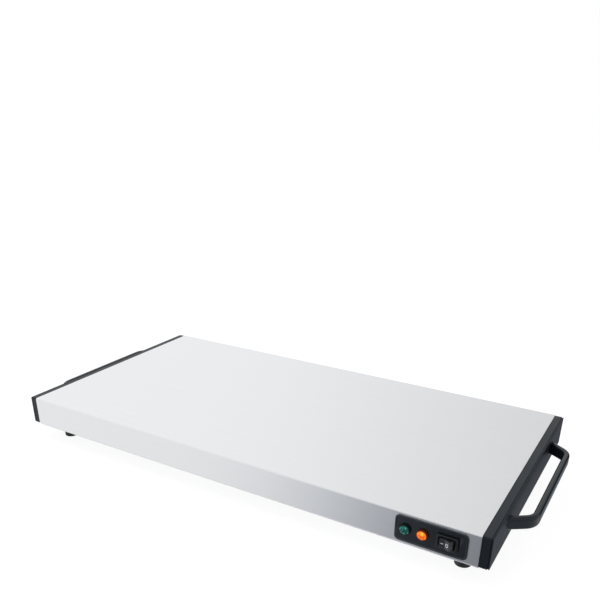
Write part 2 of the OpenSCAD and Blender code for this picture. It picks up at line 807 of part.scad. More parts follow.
// the rocker in its middle position: two wings that rise to their tips
module rocker_shape() {
    w = rocker_w/2;
    tip_x = w - rocker_end;
    dip = rocker_tip - tip_x*tan(rocker_wing);
    difference() {
        union() {
            translate([0, 0, -rocker_h/2]) linear_extrude(rocker_h) polygon([[-w, rocker_deep],
                [-w, -rocker_shoulder], [-tip_x, -rocker_tip], [0, -dip], [tip_x, -rocker_tip],
                [w, -rocker_shoulder], [w, rocker_deep]]);
            cylinder(r = trunnion_r, h = rocker_h + 2*trunnion_l, center = true);
            bar_y(rocker_boss_r, rocker_deep - e, rocker_boss_l + e);
        }
        bar_y(plunger_r + thread_gap, spring_y, rocker_deep + rocker_boss_l);
    }
}

// at rest the left wing is pressed in and the switch is on
module rocker() {
    color("#1e2023") at_switch() rotate(-rocker_tilt) rocker_shape();
}

module rocker_plunger() {
    color("#e6e2d4") at_switch() rotate(-rocker_tilt) {
        bar_y(plunger_r, spring_y + spring_l, plunger_tip - plunger_r - spring_y - spring_l);
        translate([0, plunger_tip - plunger_r, 0]) sphere(plunger_r);
    }
}

module rocker_spring() {
    turns = 4;
    spring_r = 0.2;
    steps = 12*turns;
    rise = spring_l - 2*spring_r;
    coil_r = plunger_r - spring_r - thread_gap;
    color("#c4c6c8") at_switch() rotate(-rocker_tilt)
        tube([for (i = [0:steps]) [coil_r*cos(30*i), spring_y + spring_r + rise*i/steps,
            coil_r*sin(30*i)]], 0.9*spring_r, 6);
}

// brass lever that tips the other way to the rocker and closes the contact
module contact_lever() {
    color("#c8a24a") at_switch() translate([0, lever_y, 0]) rotate(lever_tilt)
        translate([0, 0, -lever_w/2]) difference() {
            union() {
                translate([-lever_half, -arm_out - lever_t/2, 0])
                    cube([2*lever_half, lever_t, lever_w]);
                cylinder(r = lever_hub_r, h = lever_w);
            }
            translate([0, 0, -e]) cylinder(r = lever_pin_r + pin_gap, h = lever_w + 2*e);
        }
}

module switch_terminals() {
    cheek_z = lever_w/2 + run_gap;
    color("#c8a24a") at_switch() {
        // common terminal, forked round the lever's pin
        translate([-tab_t/2, floor_y - tab_t, -tab_w/2])
            cube([tab_t, housing_floor + tab_t + tab_l, tab_w]);
        translate([-yoke_w/2, floor_y - tab_t, -cheek_z - cheek_t])
            cube([yoke_w, tab_t, 2*(cheek_z + cheek_t)]);
        for (m = [0, 1]) mirror([0, 0, m]) translate([-cheek_w/2, lever_y - cheek_w/2, cheek_z])
            cube([cheek_w, floor_y - lever_y + cheek_w/2, cheek_t]);
        translate([0, lever_y, 0]) cylinder(r = lever_pin_r, h = 2*cheek_z + e, center = true);
        // fixed contact under the lever's right arm
        translate([contact_x - tab_t/2, contact_y, -tab_w/2])
            cube([tab_t, housing_d - contact_y + tab_l, tab_w]);
    }
}

// ---- heating pack ----

// a flat sheet of the pack, drilled for the studs
module pack_sheet(z, t, l, d, hole_r) {
    difference() {
        translate([-l/2, -d/2, z - t]) cube([l, d, t]);
        for (p = STUDS) translate([p[0], p[1], z - t - e]) cylinder(r = hole_r, h = t + 2*e);
    }
}

module upper_mica() {
    color("#c9b48a") pack_sheet(under_z, mica_t, heat_l, heat_d, stud_r + hole_gap);
}

module lower_mica() {
    color("#c9b48a") pack_sheet(lower_z, mica_t, heat_l, heat_d, stud_r + hole_gap);
}

// one flat ribbon that runs to and fro between the mica sheets
module heating_ribbon() {
    color("#8c8378") translate([0, 0, lower_z]) linear_extrude(ribbon_t) for (i = [0:passes - 1]) {
        y = (i - (passes - 1)/2)*ribbon_pitch;
        translate([-ribbon_x, y - ribbon_w/2]) square([2*ribbon_x, ribbon_w]);
        if (i < passes - 1) translate([i%2 == 0 ? ribbon_x - ribbon_w : -ribbon_x, y - ribbon_w/2])
            square([ribbon_w, ribbon_pitch + ribbon_w]);
    }
}

module heater_tags() {
    color("#b9bcbf") for (s = [-1, 1]) translate([0, s*tag_y - tag_w/2, 0]) {
        translate([-tag_x - ribbon_t, 0, lower_z]) cube([tag_x + ribbon_t - ribbon_x, tag_w, ribbon_t]);
        translate([-tag_x - ribbon_t, 0, lower_z - tag_drop]) cube([ribbon_t, tag_w, tag_drop + e]);
    }
}

module pressure_plate() {
    color("#9da1a4") difference() {
        pack_sheet(press_z, press_t, heat_l, heat_d, stud_r + hole_gap);
        rivet_places() translate([0, 0, mat_z - e]) cylinder(r = rivet_r + thread_gap,
            h = press_t + 2*e);
    }
}

// openings in the mat and the shield for the thermostat and the fuse
module control_windows(z, t) {
    translate([thermostat_x, 0, z - e]) cylinder(r = ear_l/2 + window_room, h = t + 2*e);
    translate([fuse_x - fuse_window_l/2, -fuse_window_w/2, z - e])
        cube([fuse_window_l, fuse_window_w, t + 2*e]);
}

module insulation_mat() {
    color("#d8d2b8") difference() {
        pack_sheet(mat_z, mat_t, heat_l, heat_d, mat_hole_r);
        control_windows(shield_z, mat_t);
    }
}

module heat_shield() {
    color("#c9ccce") difference() {
        pack_sheet(shield_z, shield_t, heat_l, heat_d, stud_r + hole_gap);
        control_windows(shield_z0, shield_t);
    }
}

module weld_studs() {
    bottom = shield_z0 - nut_h - nut_tail;
    color("#b9bcbf") for (p = STUDS) translate([p[0], p[1], bottom])
        cylinder(r = stud_r, h = under_z - bottom);
}

module stud_nuts() {
    color("#b9bcbf") for (p = STUDS) translate([p[0], p[1], 0]) {
        translate([0, 0, mat_z - nut_h]) hex_nut(nut_r, nut_h, stud_r + thread_gap);
        translate([0, 0, shield_z0 - nut_h]) hex_nut(nut_r, nut_h, stud_r + thread_gap);
    }
}

module spacer_tubes() {
    color("#b9bcbf") for (p = STUDS) translate([p[0], p[1], shield_z]) difference() {
        cylinder(r = spacer_r, h = mat_t - nut_h);
        translate([0, 0, -e]) cylinder(r = stud_r + fit_gap, h = mat_t - nut_h + 2*e);
    }
}

// ---- thermostat and thermal fuse ----

module rivet_places() {
    for (s = [-1, 1]) {
        translate([thermostat_x + s*ear_pitch, 0, 0]) children();
        translate([fuse_x, s*clip_rivet_y, 0]) children();
    }
}

module thermostat() {
    color("#d9cbb0") translate([thermostat_x, 0, mat_z]) {
        difference() {
            translate([-ear_l/2, -ear_w/2, -ear_t]) cube([ear_l, ear_w, ear_t]);
            for (s = [-1, 1]) translate([s*ear_pitch, 0, -ear_t - e])
                cylinder(r = rivet_r + thread_gap, h = ear_t + 2*e);
        }
        translate([0, 0, -ear_t - cup_h]) cylinder(r = thermostat_r + cup_rim, h = cup_h + e);
        translate([0, 0, -ear_t - cup_h - body_l]) cylinder(r = thermostat_r, h = body_l + e);
        for (s = [-1, 1]) translate([s*blade_x - blade_t/2, -blade_w/2, blade_z - mat_z])
            cube([blade_t, blade_w, blade_l + e]);
    }
}

module thermal_fuse() {
    color("#c6c8ca") translate([fuse_x, 0, fuse_z]) rotate([0, 90, 0]) {
        cylinder(r = fuse_r, h = fuse_l, center = true);
        cylinder(r = fuse_lead_r, h = fuse_l + 2*fuse_lead_l, center = true);
    }
}

// omega clip that holds the fuse against the pressure plate
module fuse_clip() {
    ring = fuse_r + thread_gap;
    ear = clip_rivet_y + rivet_head_r;
    color("#b9bcbf") difference() {
        translate([fuse_x - clip_w/2, 0, 0]) rotate([90, 0, 90]) linear_extrude(clip_w) difference() {
            union() {
                translate([0, fuse_z]) circle(ring + clip_sheet);
                translate([-ring - clip_sheet, fuse_z]) square([2*(ring + clip_sheet), fuse_r]);
                translate([-ear, mat_z - clip_sheet]) square([2*ear, clip_sheet]);
            }
            translate([0, fuse_z]) circle(ring);
            translate([-ring, fuse_z]) square([2*ring, fuse_r + clip_sheet]);
            translate([-ear, mat_z]) square([2*ear, 2*clip_sheet]);
        }
        for (s = [-1, 1]) translate([fuse_x, s*clip_rivet_y, mat_z - clip_sheet - e])
            cylinder(r = rivet_r + thread_gap, h = clip_sheet + 2*e);
    }
}

module plate_rivets() {
    color("#b9bcbf") {
        for (s = [-1, 1]) translate([thermostat_x + s*ear_pitch, 0, 0]) rivet(ear_t);
        for (s = [-1, 1]) translate([fuse_x, s*clip_rivet_y, 0]) rivet(clip_sheet);
    }
}

// rivet through the pressure plate and a sheet of thickness t below it
module rivet(t) {
    translate([0, 0, mat_z - t - rivet_head_h/2]) cylinder(r = rivet_r,
        h = rivet_head_h/2 + t + press_t);
    translate([0, 0, mat_z - t - rivet_head_h]) cylinder(r = rivet_head_r, h = rivet_head_h);
}

// ---- terminals, gland and earth ----

module block_screw_places() {
    for (s = [-1, 1]) translate([block_x + s*terminal_pitch/2, block_y, 0]) children();
}

module terminal_block() {
    color("#e9e6df") difference() {
        translate([block_x - block_l/2, block_y - block_w/2, floor_z])
            cube([block_l, block_w, block_h]);
        for (i = [-1:1]) translate([block_x + i*terminal_pitch, 0, terminal_z]) {
            bar_y(sleeve_r + thread_gap, block_y - block_w/2 - e, block_w + 2*e);
            for (s = [-1, 1]) translate([0, block_y + s*block_w/4, 0])
                cylinder(r = terminal_screw_r + fit_gap, h = block_h);
        }
        block_screw_places() translate([0, 0, floor_z - e])
            cylinder(r = screw_r + thread_gap, h = block_bore_l);
    }
}

module terminal_sleeves() {
    color("#c8a24a") for (i = [-1:1]) translate([block_x + i*terminal_pitch, 0, terminal_z])
        difference() {
            bar_y(sleeve_r, block_y - block_w/2, block_w);
            bar_y(sleeve_bore, block_y - block_w/2 - e, block_w + 2*e);
        }
}

module terminal_screws() {
    color("#b9bcbf") for (i = [-1:1], s = [-1, 1])
        translate([block_x + i*terminal_pitch, block_y + s*block_w/4, terminal_z + sleeve_r])
            difference() {
                cylinder(r = terminal_screw_r, h = terminal_screw_h);
                translate([-screw_head_r, -terminal_slot/2, terminal_screw_h - 1])
                    cube([2*screw_head_r, terminal_slot, 1 + e]);
            }
}

module block_screws() {
    color("#b9bcbf") block_screw_places() translate([0, 0, base_z])
        screw(screw_r, screw_head_r, screw_head_h, base_t + block_bore_l - 2*tip_room);
}

// gland in the back wall, with the cord's bore along Y
module cord_gland() {
    color("#1c1e20") translate([block_x, 0, mid_z]) difference() {
        union() {
            bar_y(gland_r, back_y, gland_out - gland_step);
            bar_y(gland_r - gland_step, back_y, gland_out);
            bar_y(gland_thread/2, back_y - gland_in, gland_in + e);
        }
        bar_y(gland_bore/2, back_y - gland_in - e, gland_in + gland_out + 2*e);
    }
}

module gland_nut() {
    color("#1c1e20") translate([block_x, back_y - cover_t, mid_z]) rotate([90, 0, 0])
        hex_nut(gland_nut_r, gland_nut_t, gland_thread/2 + thread_gap);
}

module earth_stud() {
    color("#b9bcbf") translate([earth_x, block_y, floor_z]) cylinder(r = stud_r, h = earth_h);
}

module earth_tag() {
    color("#c8a24a") translate([earth_x, block_y, floor_z]) difference() {
        union() {
            cylinder(r = earth_ring_r, h = earth_tag_t);
            translate([-earth_neck_w/2, earth_barrel_l/2 - earth_end, 0])
                cube([earth_neck_w, earth_end - earth_barrel_l/2 - stud_r, earth_tag_t]);
            translate([0, 0, earth_barrel_r]) bar_y(earth_barrel_r, -earth_end, earth_barrel_l);
        }
        translate([0, 0, -e]) cylinder(r = stud_r + fit_gap, h = earth_tag_t + 2*e);
    }
}

module earth_nut() {
    color("#b9bcbf") translate([earth_x, block_y, floor_z + earth_tag_t])
        hex_nut(nut_r, nut_h, stud_r + thread_gap);
}

// ---- wires ----

module live_wire() {
    color("#7a4a2b") wire(LIVE);
}

module switched_wire() {
    color("#1c1e20") wire(SWITCHED);
}

module fuse_wire() {
    color("#1c1e20") wire(FUSE);
}

module heater_wire() {
    color("#1c1e20") wire(HEATER);
}

module neutral_wire() {
    color("#2f5fa8") wire(NEUTRAL);
}

module earth_wire() {
    color("#6fa03a") wire(EARTH);
}

// the link between the two lamps, and the lead from the orange lamp to the switch
module lamp_wires() {
    color("#7a4a2b") for (P = [LAMP_LINK, LAMP_SWITCHED]) tube(smooth(P, 5), thin_r, 8);
}

top_cover();
base_plate();
left_end_cap();
right_end_cap();
left_handle();
right_handle();
handle_screws();
base_screws();
cap_screws();
feet();
foot_screws();
foot_nuts();
control_panel();
green_lens();
orange_lens();
lamp_clips();
neon_bulbs();
lamp_backs();
switch_housing();
rocker();
rocker_plunger();
rocker_spring();
contact_lever();
switch_terminals();
weld_studs();
stud_nuts();
spacer_tubes();
upper_mica();
heating_ribbon();
lower_mica();
heater_tags();
pressure_plate();
insulation_mat();
heat_shield();
thermostat();
thermal_fuse();
fuse_clip();
plate_rivets();
terminal_block();
terminal_sleeves();
terminal_screws();
block_screws();
earth_stud();
earth_nut();
earth_tag();
cord_gland();
gland_nut();
live_wire();
switched_wire();
fuse_wire();
heater_wire();
neutral_wire();
earth_wire();
lamp_wires();
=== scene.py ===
# %% [markdown]
# # An electric warming tray, dressed for the camera
#
# A warming tray is a folded steel hotplate between two moulded end caps, with a handle at each end and
# a small control panel at the front right. The solids come packed from a CAD model, in metres, and lie
# in the frame that everything here uses: X along the tray, -Y the front, +Z up, the table at Z = 0.
# The solids give the sizes. What they can't give is finish: rounded edges, cut lenses, grain, gloss and
# light. Each step says what the piece is on a real tray, how it could be made, and why it is made so.

# %% Load the solids
import json
import math

import bmesh
import bpy
import numpy as np
from mathutils import Matrix, Vector


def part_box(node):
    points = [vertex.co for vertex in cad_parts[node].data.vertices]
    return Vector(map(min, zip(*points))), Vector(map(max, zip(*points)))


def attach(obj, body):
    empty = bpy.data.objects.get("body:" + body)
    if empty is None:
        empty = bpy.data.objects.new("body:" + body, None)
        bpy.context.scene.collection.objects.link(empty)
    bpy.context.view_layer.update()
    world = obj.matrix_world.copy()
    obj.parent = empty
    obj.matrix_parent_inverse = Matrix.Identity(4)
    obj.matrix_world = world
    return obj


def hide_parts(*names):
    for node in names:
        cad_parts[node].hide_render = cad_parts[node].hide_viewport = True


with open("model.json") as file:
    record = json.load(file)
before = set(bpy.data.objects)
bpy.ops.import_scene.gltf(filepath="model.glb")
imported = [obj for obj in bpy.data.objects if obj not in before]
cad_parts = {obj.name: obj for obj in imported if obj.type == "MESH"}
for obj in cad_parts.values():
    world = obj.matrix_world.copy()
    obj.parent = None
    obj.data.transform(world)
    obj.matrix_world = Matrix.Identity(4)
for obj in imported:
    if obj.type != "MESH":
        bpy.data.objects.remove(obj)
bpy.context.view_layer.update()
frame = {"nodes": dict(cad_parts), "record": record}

MM = 0.001

# %% [markdown]
# ## Surfaces from arrays
#
# Almost every moulded or turned part is one outline that changes a little on its way along a line. A
# modeller would extrude it, bevel it and fix what the bevel broke. Here each part is a grid of points
# worked out with numpy: the rows are places along the line and the columns are places round the outline.
# That keeps every size readable, and the grid turns into faces the same way for all parts.

# %% Grids into faces
def shell(grid, ends="capped"):
    """Points and faces over a grid in millimetres. Point (i, j) is joined to its neighbours in row and
    column, and the last column to the first. The first and last row are each capped with one face, or
    joined to each other, which closes a ring."""
    rows, columns = grid.shape[:2]
    strips = rows if ends == "joined" else rows - 1
    i, j = np.meshgrid(np.arange(strips), np.arange(columns), indexing="ij")
    ahead, around = (i + 1) % rows, (j + 1) % columns
    quads = np.stack([i * columns + j, i * columns + around, ahead * columns + around,
                      ahead * columns + j], -1)
    faces = quads.reshape(-1, 4).tolist()
    if ends == "capped":
        last = (rows - 1) * columns
        faces += [list(range(columns))[::-1], list(range(last, last + columns))]
    return grid.reshape(-1, 3), faces


points, faces = shell(np.zeros((2, 4, 3)))
print("a square tube of 2 rows has", len(points), "points and", len(faces), "faces")

# %% [markdown]
# ## From faces to an object
#
# A real moulding has no double skin and no inside-out face, and its broad faces shine flat right up to
# their fillets. So doubles are merged and faces are turned outwards. The edges could be smoothed by hand,
# but one rule by angle and normals weighted by area do the same for every piece.

# %% Faces into an object
SAME_POINT = 0.0001 * MM


def build(name, shells, sharp=35.0, weighted=True):
    """One object from several shells. Doubles are merged, faces turned outwards, and edges sharper than
    the given angle in degrees are kept sharp. Weighted normals keep broad faces flat beside fillets."""
    starts = np.cumsum([0] + [len(points) for points, _ in shells])
    points = np.concatenate([points for points, _ in shells]) * MM
    faces = [[corner + int(start) for corner in face]
             for start, (_, part) in zip(starts, shells) for face in part]
    mesh = bpy.data.meshes.new(name)
    mesh.from_pydata(points.tolist(), [], faces)
    work = bmesh.new()
    work.from_mesh(mesh)
    bmesh.ops.remove_doubles(work, verts=work.verts, dist=SAME_POINT)
    bmesh.ops.recalc_face_normals(work, faces=work.faces)
    work.to_mesh(mesh)
    work.free()
    mesh.shade_smooth()
    mesh.set_sharp_from_angle(angle=math.radians(sharp))
    made = bpy.data.objects.new(name, mesh)
    bpy.context.scene.collection.objects.link(made)
    if weighted:
        made.modifiers.new("flat faces stay flat", "WEIGHTED_NORMAL").keep_sharp = True
    return made


print("points closer than", round(SAME_POINT / MM, 5), "mm are merged")

# %% [markdown]
# ## Outlines and lines with round corners
#
# No corner from a mould, a press or a lathe is truly sharp, and the thin light line on a rounded corner is
# what makes it look real. The corners could be bevelled later. Here they are part of the outline itself,
# so each one has the radius that its tool would leave.

# %% Rounded rectangles
def rounded_outline(width, height, radius, corner=10):
    """Points round a rectangle with round corners: on each corner a quarter circle, which is the
    corner's centre + radius * (cos a, sin a). Sizes may be arrays with one value for each row."""
    width, height, radius = (np.asarray(size, float)[..., None] for size in (width, height, radius))
    turn = np.repeat(np.arange(4), corner) * np.pi / 2
    angle = turn + np.tile(np.linspace(0, np.pi / 2, corner), 4)
    u = np.sign(np.cos(turn + np.pi / 4)) * (width / 2 - radius) + radius * np.cos(angle)
    v = np.sign(np.sin(turn + np.pi / 4)) * (height / 2 - radius) + radius * np.sin(angle)
    return np.stack(np.broadcast_arrays(u, v), -1)


print("a rounded rectangle has", len(rounded_outline(4.0, 2.0, 0.5)), "points")


# %% Rounded lines
def rounded_line(corners, steps=6):
    """A line of straight runs whose corners are rounded. Each corner is (u, v, radius). The circle
    touches both runs at radius / tan(half angle) from the corner, and its centre lies on the bisector
    at radius / sin(half angle). The arc is the start arm turned evenly into the end arm."""
    corners = np.asarray(corners, float)
    point, radius = corners[:, :2], corners[:, 2, None]
    back, ahead = np.roll(point, 1, 0) - point, np.roll(point, -1, 0) - point
    back /= np.linalg.norm(back, axis=1, keepdims=True)
    ahead /= np.linalg.norm(ahead, axis=1, keepdims=True)
    half = np.arccos(np.clip((back * ahead).sum(1, keepdims=True), -0.999999, 0.999999)) / 2
    bisector = (back + ahead) / np.maximum(np.linalg.norm(back + ahead, axis=1, keepdims=True), 1e-9)
    centre = point + bisector * radius / np.sin(half)
    start = point + back * radius / np.tan(half) - centre
    end = point + ahead * radius / np.tan(half) - centre
    sweep = (np.pi - 2 * half)[..., None]
    t = np.linspace(0, 1, steps)[None, :, None]
    arm = (start[:, None] * np.sin((1 - t) * sweep) + end[:, None] * np.sin(t * sweep)) / np.sin(sweep)
    line = (centre[:, None] + arm).reshape(-1, 2)
    step = np.linalg.norm(np.diff(line, axis=0), axis=1)
    return line[np.r_[True, step > 1e-5]]


print("a rounded line of 4 corners has", len(rounded_line([(0, 0, 0), (4, 0, 1), (4, 4, 1), (0, 4, 0)])),
      "points")


# %% Turned parts
def turned(line, columns=64):
    """A line of (radius, height) carried once round the Z axis: (r cos a, r sin a, h)."""
    angle = np.linspace(0, 2 * np.pi, columns, endpoint=False)
    radius, height = line[:, :1], line[:, 1:]
    return np.stack(np.broadcast_arrays(radius * np.cos(angle), radius * np.sin(angle), height), -1)


print("a turned line of 2 points is a grid of", turned(np.ones((2, 2))).shape)

# %% [markdown]
# ## Materials: one way to add a node
#
# A shader graph written by hand repeats the same three lines: make a node, set it up, link it. One small
# helper does that. Colours are written as the hex values that a paint program shows, which are sRGB, and
# one function turns them into the linear values that light adds up in.

# %% Helpers for materials
MIX_A, MIX_B, MIX_RESULT = 6, 7, 2


def linear(hex_colour):
    """sRGB hex to linear: each channel c becomes ((c + 0.055) / 1.055) ** 2.4, or c / 12.92 when dark."""
    channel = np.array([int(hex_colour[i:i + 2], 16) for i in (1, 3, 5)]) / 255
    value = np.where(channel <= 0.04045, channel / 12.92, ((channel + 0.055) / 1.055) ** 2.4)
    return (*value.tolist(), 1.0)


def add_node(tree, kind, inputs=None, **settings):
    """Adds one node, sets its properties, and fills its inputs: a socket is linked, a value is set."""
    node = tree.nodes.new("ShaderNode" + kind)
    for name, value in settings.items():
        setattr(node, name, value)
    for key, value in (inputs or {}).items():
        if isinstance(value, bpy.types.NodeSocket):
            tree.links.new(value, node.inputs[key])
        else:
            node.inputs[key].default_value = value
    return node


print("white is", linear("#FFFFFF"), "and mid grey is", round(linear("#808080")[0], 3))


# %% A material and its shader
def new_material(name, **constants):
    """A material with its Principled shader. Constants are set on the shader's own sockets."""
    made = bpy.data.materials.new(name)
    made.use_nodes = True
    shader = made.node_tree.nodes["Principled BSDF"]
    for key, value in constants.items():
        shader.inputs[key.replace("_", " ")].default_value = value
    return made, made.node_tree, shader


def connect(tree, shader, **sources):
    """Links each source to the shader's input of that name."""
    for key, source in sources.items():
        tree.links.new(source, shader.inputs[key.replace("_", " ")])


finishes = {}
print("finishes so far:", len(finishes))

# %% [markdown]
# ## Brushed metal
#
# Stainless steel sheet is brushed by a belt that leaves fine parallel scratches along the sheet. They
# spread a reflection across the grain and keep it short along the grain, so the metal looks like satin
# with a direction. Real scratches are about 0.02 mm wide, far below a pixel here, so they are drawn about
# 0.5 mm wide. The shader's own anisotropy does the spreading, and the drawn streaks only break it up.

# %% Brushed metal
def brushed_metal(name, dark, light, streak_mm, length_mm, roughness, anisotropy, depth_mm):
    """Noise squeezed across the grain and stretched along X: one cell is length_mm by streak_mm."""
    made, tree, shader = new_material(name, Metallic=1.0, Anisotropic=anisotropy)
    here = add_node(tree, "TexCoord").outputs["Object"]
    across, along = 1 / (streak_mm * MM), 1 / (length_mm * MM)
    cells = add_node(tree, "Mapping", {"Vector": here, "Scale": (along, across, across)})
    streaks = add_node(tree, "TexNoise", {"Vector": cells.outputs[0], "Scale": 1.0, "Detail": 3.0}).outputs[0]
    shade = add_node(tree, "Mix", {0: streaks, MIX_A: linear(dark), MIX_B: linear(light)},
                     data_type="RGBA")
    rough = add_node(tree, "MapRange", {"Value": streaks, "To Min": roughness - 0.04,
                                        "To Max": roughness + 0.04})
    relief = add_node(tree, "Bump", {"Height": streaks, "Distance": depth_mm * MM, "Strength": 0.5})
    ring = add_node(tree, "Tangent", direction_type="RADIAL", axis="X")
    connect(tree, shader, Base_Color=shade.outputs[MIX_RESULT], Roughness=rough.outputs[0],
            Normal=relief.outputs[0], Tangent=ring.outputs[0])
    return made


# %% Brushed and rolled metals
# belt brushed: pale satin whose reflections are drawn out across the grain
finishes["brushed_stainless"] = brushed_metal(
    "stainless_steel_belt_brushed", "#DCDDDF", "#E6E7E9", streak_mm=0.5, length_mm=60, roughness=0.34,
    anisotropy=0.55, depth_mm=0.004)
# rolled: warm yellow with faint, short lines
finishes["brass_strip"] = brushed_metal(
    "brass_rolled_strip", "#C09A4A", "#D0AC5C", streak_mm=0.4, length_mm=12, roughness=0.30,
    anisotropy=0.3, depth_mm=0.004)
# rolled and heated: dull brownish grey
finishes["resistance_ribbon"] = brushed_metal(
    "nickel_chrome_rolled_ribbon", "#857C70", "#9A9184", streak_mm=0.3, length_mm=30, roughness=0.42,
    anisotropy=0.3, depth_mm=0.003)
# drawn through a die: bright, with lines too fine to see
finishes["spring_steel"] = brushed_metal(
    "spring_steel_drawn_wire", "#B4B6B8", "#C6C8CA", streak_mm=0.2, length_mm=2, roughness=0.28,
    anisotropy=0.2, depth_mm=0.002)
print("brushed metals:", [made.name for made in finishes.values()])

# %% [markdown]
# ## Zinc, aluminium and tin on metal
#
# The base plate is galvanised: hot zinc freezes on the steel in flat crystals, the spangle, each with a
# slightly different shine. Screws are electroplated and have a much finer, nearly even coat. Both are a
# cell pattern whose cells differ in brightness and roughness, and only the size of a cell changes.

# %% Plated metal
def plated_metal(name, dark, light, spangle_mm, roughness, dust_mm=0.25, depth_mm=0.01):
    """Voronoi cells of spangle_mm: each cell's own random value picks its shade and its roughness."""
    made, tree, shader = new_material(name, Metallic=1.0)
    here = add_node(tree, "TexCoord").outputs["Object"]
    crystals = add_node(tree, "TexVoronoi", {"Vector": here, "Scale": 1 / (spangle_mm * MM)})
    grey = add_node(tree, "RGBToBW", {"Color": crystals.outputs["Color"]}).outputs[0]
    dust = add_node(tree, "TexNoise", {"Vector": here, "Scale": 1 / (dust_mm * MM), "Detail": 2.0})
    shade = add_node(tree, "Mix", {0: grey, MIX_A: linear(dark), MIX_B: linear(light)}, data_type="RGBA")
    rough = add_node(tree, "MapRange", {"Value": grey, "To Min": roughness - 0.07,
                                        "To Max": roughness + 0.07})
    relief = add_node(tree, "Bump", {"Height": dust.outputs[0], "Distance": depth_mm * MM,
                                     "Strength": 0.3})
    connect(tree, shader, Base_Color=shade.outputs[MIX_RESULT], Roughness=rough.outputs[0],
            Normal=relief.outputs[0])
    return made


# dipped in hot zinc: patches as wide as a fingernail, each with its own grey
finishes["galvanised_sheet"] = plated_metal(
    "steel_sheet_galvanised", "#A3A8AB", "#C2C6C8", spangle_mm=7.0, roughness=0.42)
# plated in a bath: even, bright and slightly blue
finishes["zinc_screw"] = plated_metal(
    "steel_zinc_electroplated", "#B3B7BA", "#CACDCF", spangle_mm=0.8, roughness=0.30)
# dipped in aluminium: small soft patches, whiter than zinc
finishes["aluminised_steel"] = plated_metal(
    "steel_sheet_aluminised", "#B9BCBE", "#CDD0D1", spangle_mm=2.5, roughness=0.38)
# tinned: smooth and nearly white
finishes["fuse_tin"] = plated_metal(
    "copper_can_tin_plated", "#BFC1C2", "#D2D3D4", spangle_mm=0.6, roughness=0.25)
print("plated metals: spangle from 0.6 to 7 mm")

# %% [markdown]
# ## Moulded plastic
#
# The end caps come from a mould whose steel was spark-eroded, which leaves a fine even pebble of about
# 0.2 mm on the plastic. It scatters light, so the caps look matt and a little grey on top. A pixel here is
# wider than that, so the caps' pebble is drawn 0.9 mm wide, where it just shows as grain. The handle
# comes from a polished mould and keeps a satin shine. The same graph makes both: pebbles as bump, a slow
# cloud of slightly different tone and roughness, and a gloss that stays the plastic's own.

# %% Moulded plastic
def moulded(name, dark, light, pebble_mm, depth_mm, roughness, cloud_mm=18.0, **constants):
    """Pebbles are the distance to the nearest cell point at pebble_mm, and the cloud is slow noise."""
    made, tree, shader = new_material(name, **constants)
    here = add_node(tree, "TexCoord").outputs["Object"]
    pebbles = add_node(tree, "TexVoronoi", {"Vector": here, "Scale": 1 / (pebble_mm * MM)},
                       feature="SMOOTH_F1").outputs["Distance"]
    cloud = add_node(tree, "TexNoise", {"Vector": here, "Scale": 1 / (cloud_mm * MM),
                                        "Detail": 4.0}).outputs[0]
    speck = add_node(tree, "Mix", {0: 0.35, 2: cloud, 3: pebbles})
    shade = add_node(tree, "Mix", {0: speck.outputs[0], MIX_A: linear(dark), MIX_B: linear(light)},
                     data_type="RGBA")
    rough = add_node(tree, "MapRange", {"Value": cloud, "To Min": roughness - 0.05,
                                        "To Max": roughness + 0.05})
    relief = add_node(tree, "Bump", {"Height": pebbles, "Distance": depth_mm * MM, "Strength": 0.6})
    connect(tree, shader, Base_Color=shade.outputs[MIX_RESULT], Roughness=rough.outputs[0],
            Normal=relief.outputs[0])
    return made


# %% Moulded parts that show
# spark-eroded mould: matt and grainy, with a cool grey sheen on top
finishes["cap_plastic"] = moulded(
    "polyamide_spark_eroded_mould", "#06080B", "#0D1115", pebble_mm=0.9, depth_mm=0.12, roughness=0.46,
    Specular_IOR_Level=0.4, Specular_Tint=(0.66, 0.82, 1.0, 1.0))
# polished mould: black with a soft light line along each edge
finishes["handle_phenolic"] = moulded(
    "phenolic_polished_mould", "#12151A", "#1A1E23", pebble_mm=0.35, depth_mm=0.004, roughness=0.15,
    Specular_IOR_Level=0.32, Specular_Tint=(0.8, 0.9, 1.0, 1.0))
# pressed rubber: dull, with no clear reflection
finishes["foot_rubber"] = moulded(
    "rubber_moulded_foot", "#0E0F10", "#17181A", pebble_mm=0.6, depth_mm=0.03, roughness=0.62)
# satin mould: black that mirrors the room softly
finishes["panel_abs"] = moulded(
    "abs_satin_mould", "#0A0D10", "#0F1317", pebble_mm=0.4, depth_mm=0.02, roughness=0.3,
    Specular_IOR_Level=0.85, Specular_Tint=(0.85, 0.93, 1.0, 1.0))
# plain moulded nylon: black and half matt; the switch's copy is darker still, painted shade round the
# rocker's pit
finishes["black_nylon"] = moulded(
    "nylon_gland_moulded", "#121314", "#1B1D1F", pebble_mm=0.4, depth_mm=0.02, roughness=0.42)
# the switch frame's darker copy of the nylon paints the shade that falls round the rocker
finishes["switch_nylon"] = moulded(
    "nylon_switch_moulded_painted_shade", "#08090B", "#0E1013", pebble_mm=0.35, depth_mm=0.02, roughness=0.4)
# a glossier plastic: its two wings catch the light differently
finishes["rocker_polycarbonate"] = moulded(
    "polycarbonate_rocker_moulded", "#1B1F24", "#24282E", pebble_mm=0.35, depth_mm=0.015, roughness=0.32)
print("moulded finishes so far:", sum("mould" in made.name for made in finishes.values()))

# %% Hidden ceramics, silicone and acetal
# turned acetal: waxy off-white
finishes["white_acetal"] = moulded(
    "acetal_turned_plunger", "#DAD6C8", "#E8E4D8", pebble_mm=0.5, depth_mm=0.005, roughness=0.32)
# pressed and fired without glaze: chalky cream
finishes["steatite"] = moulded(
    "steatite_pressed_unglazed", "#CDBE9C", "#DDD0B2", pebble_mm=0.3, depth_mm=0.02, roughness=0.75)
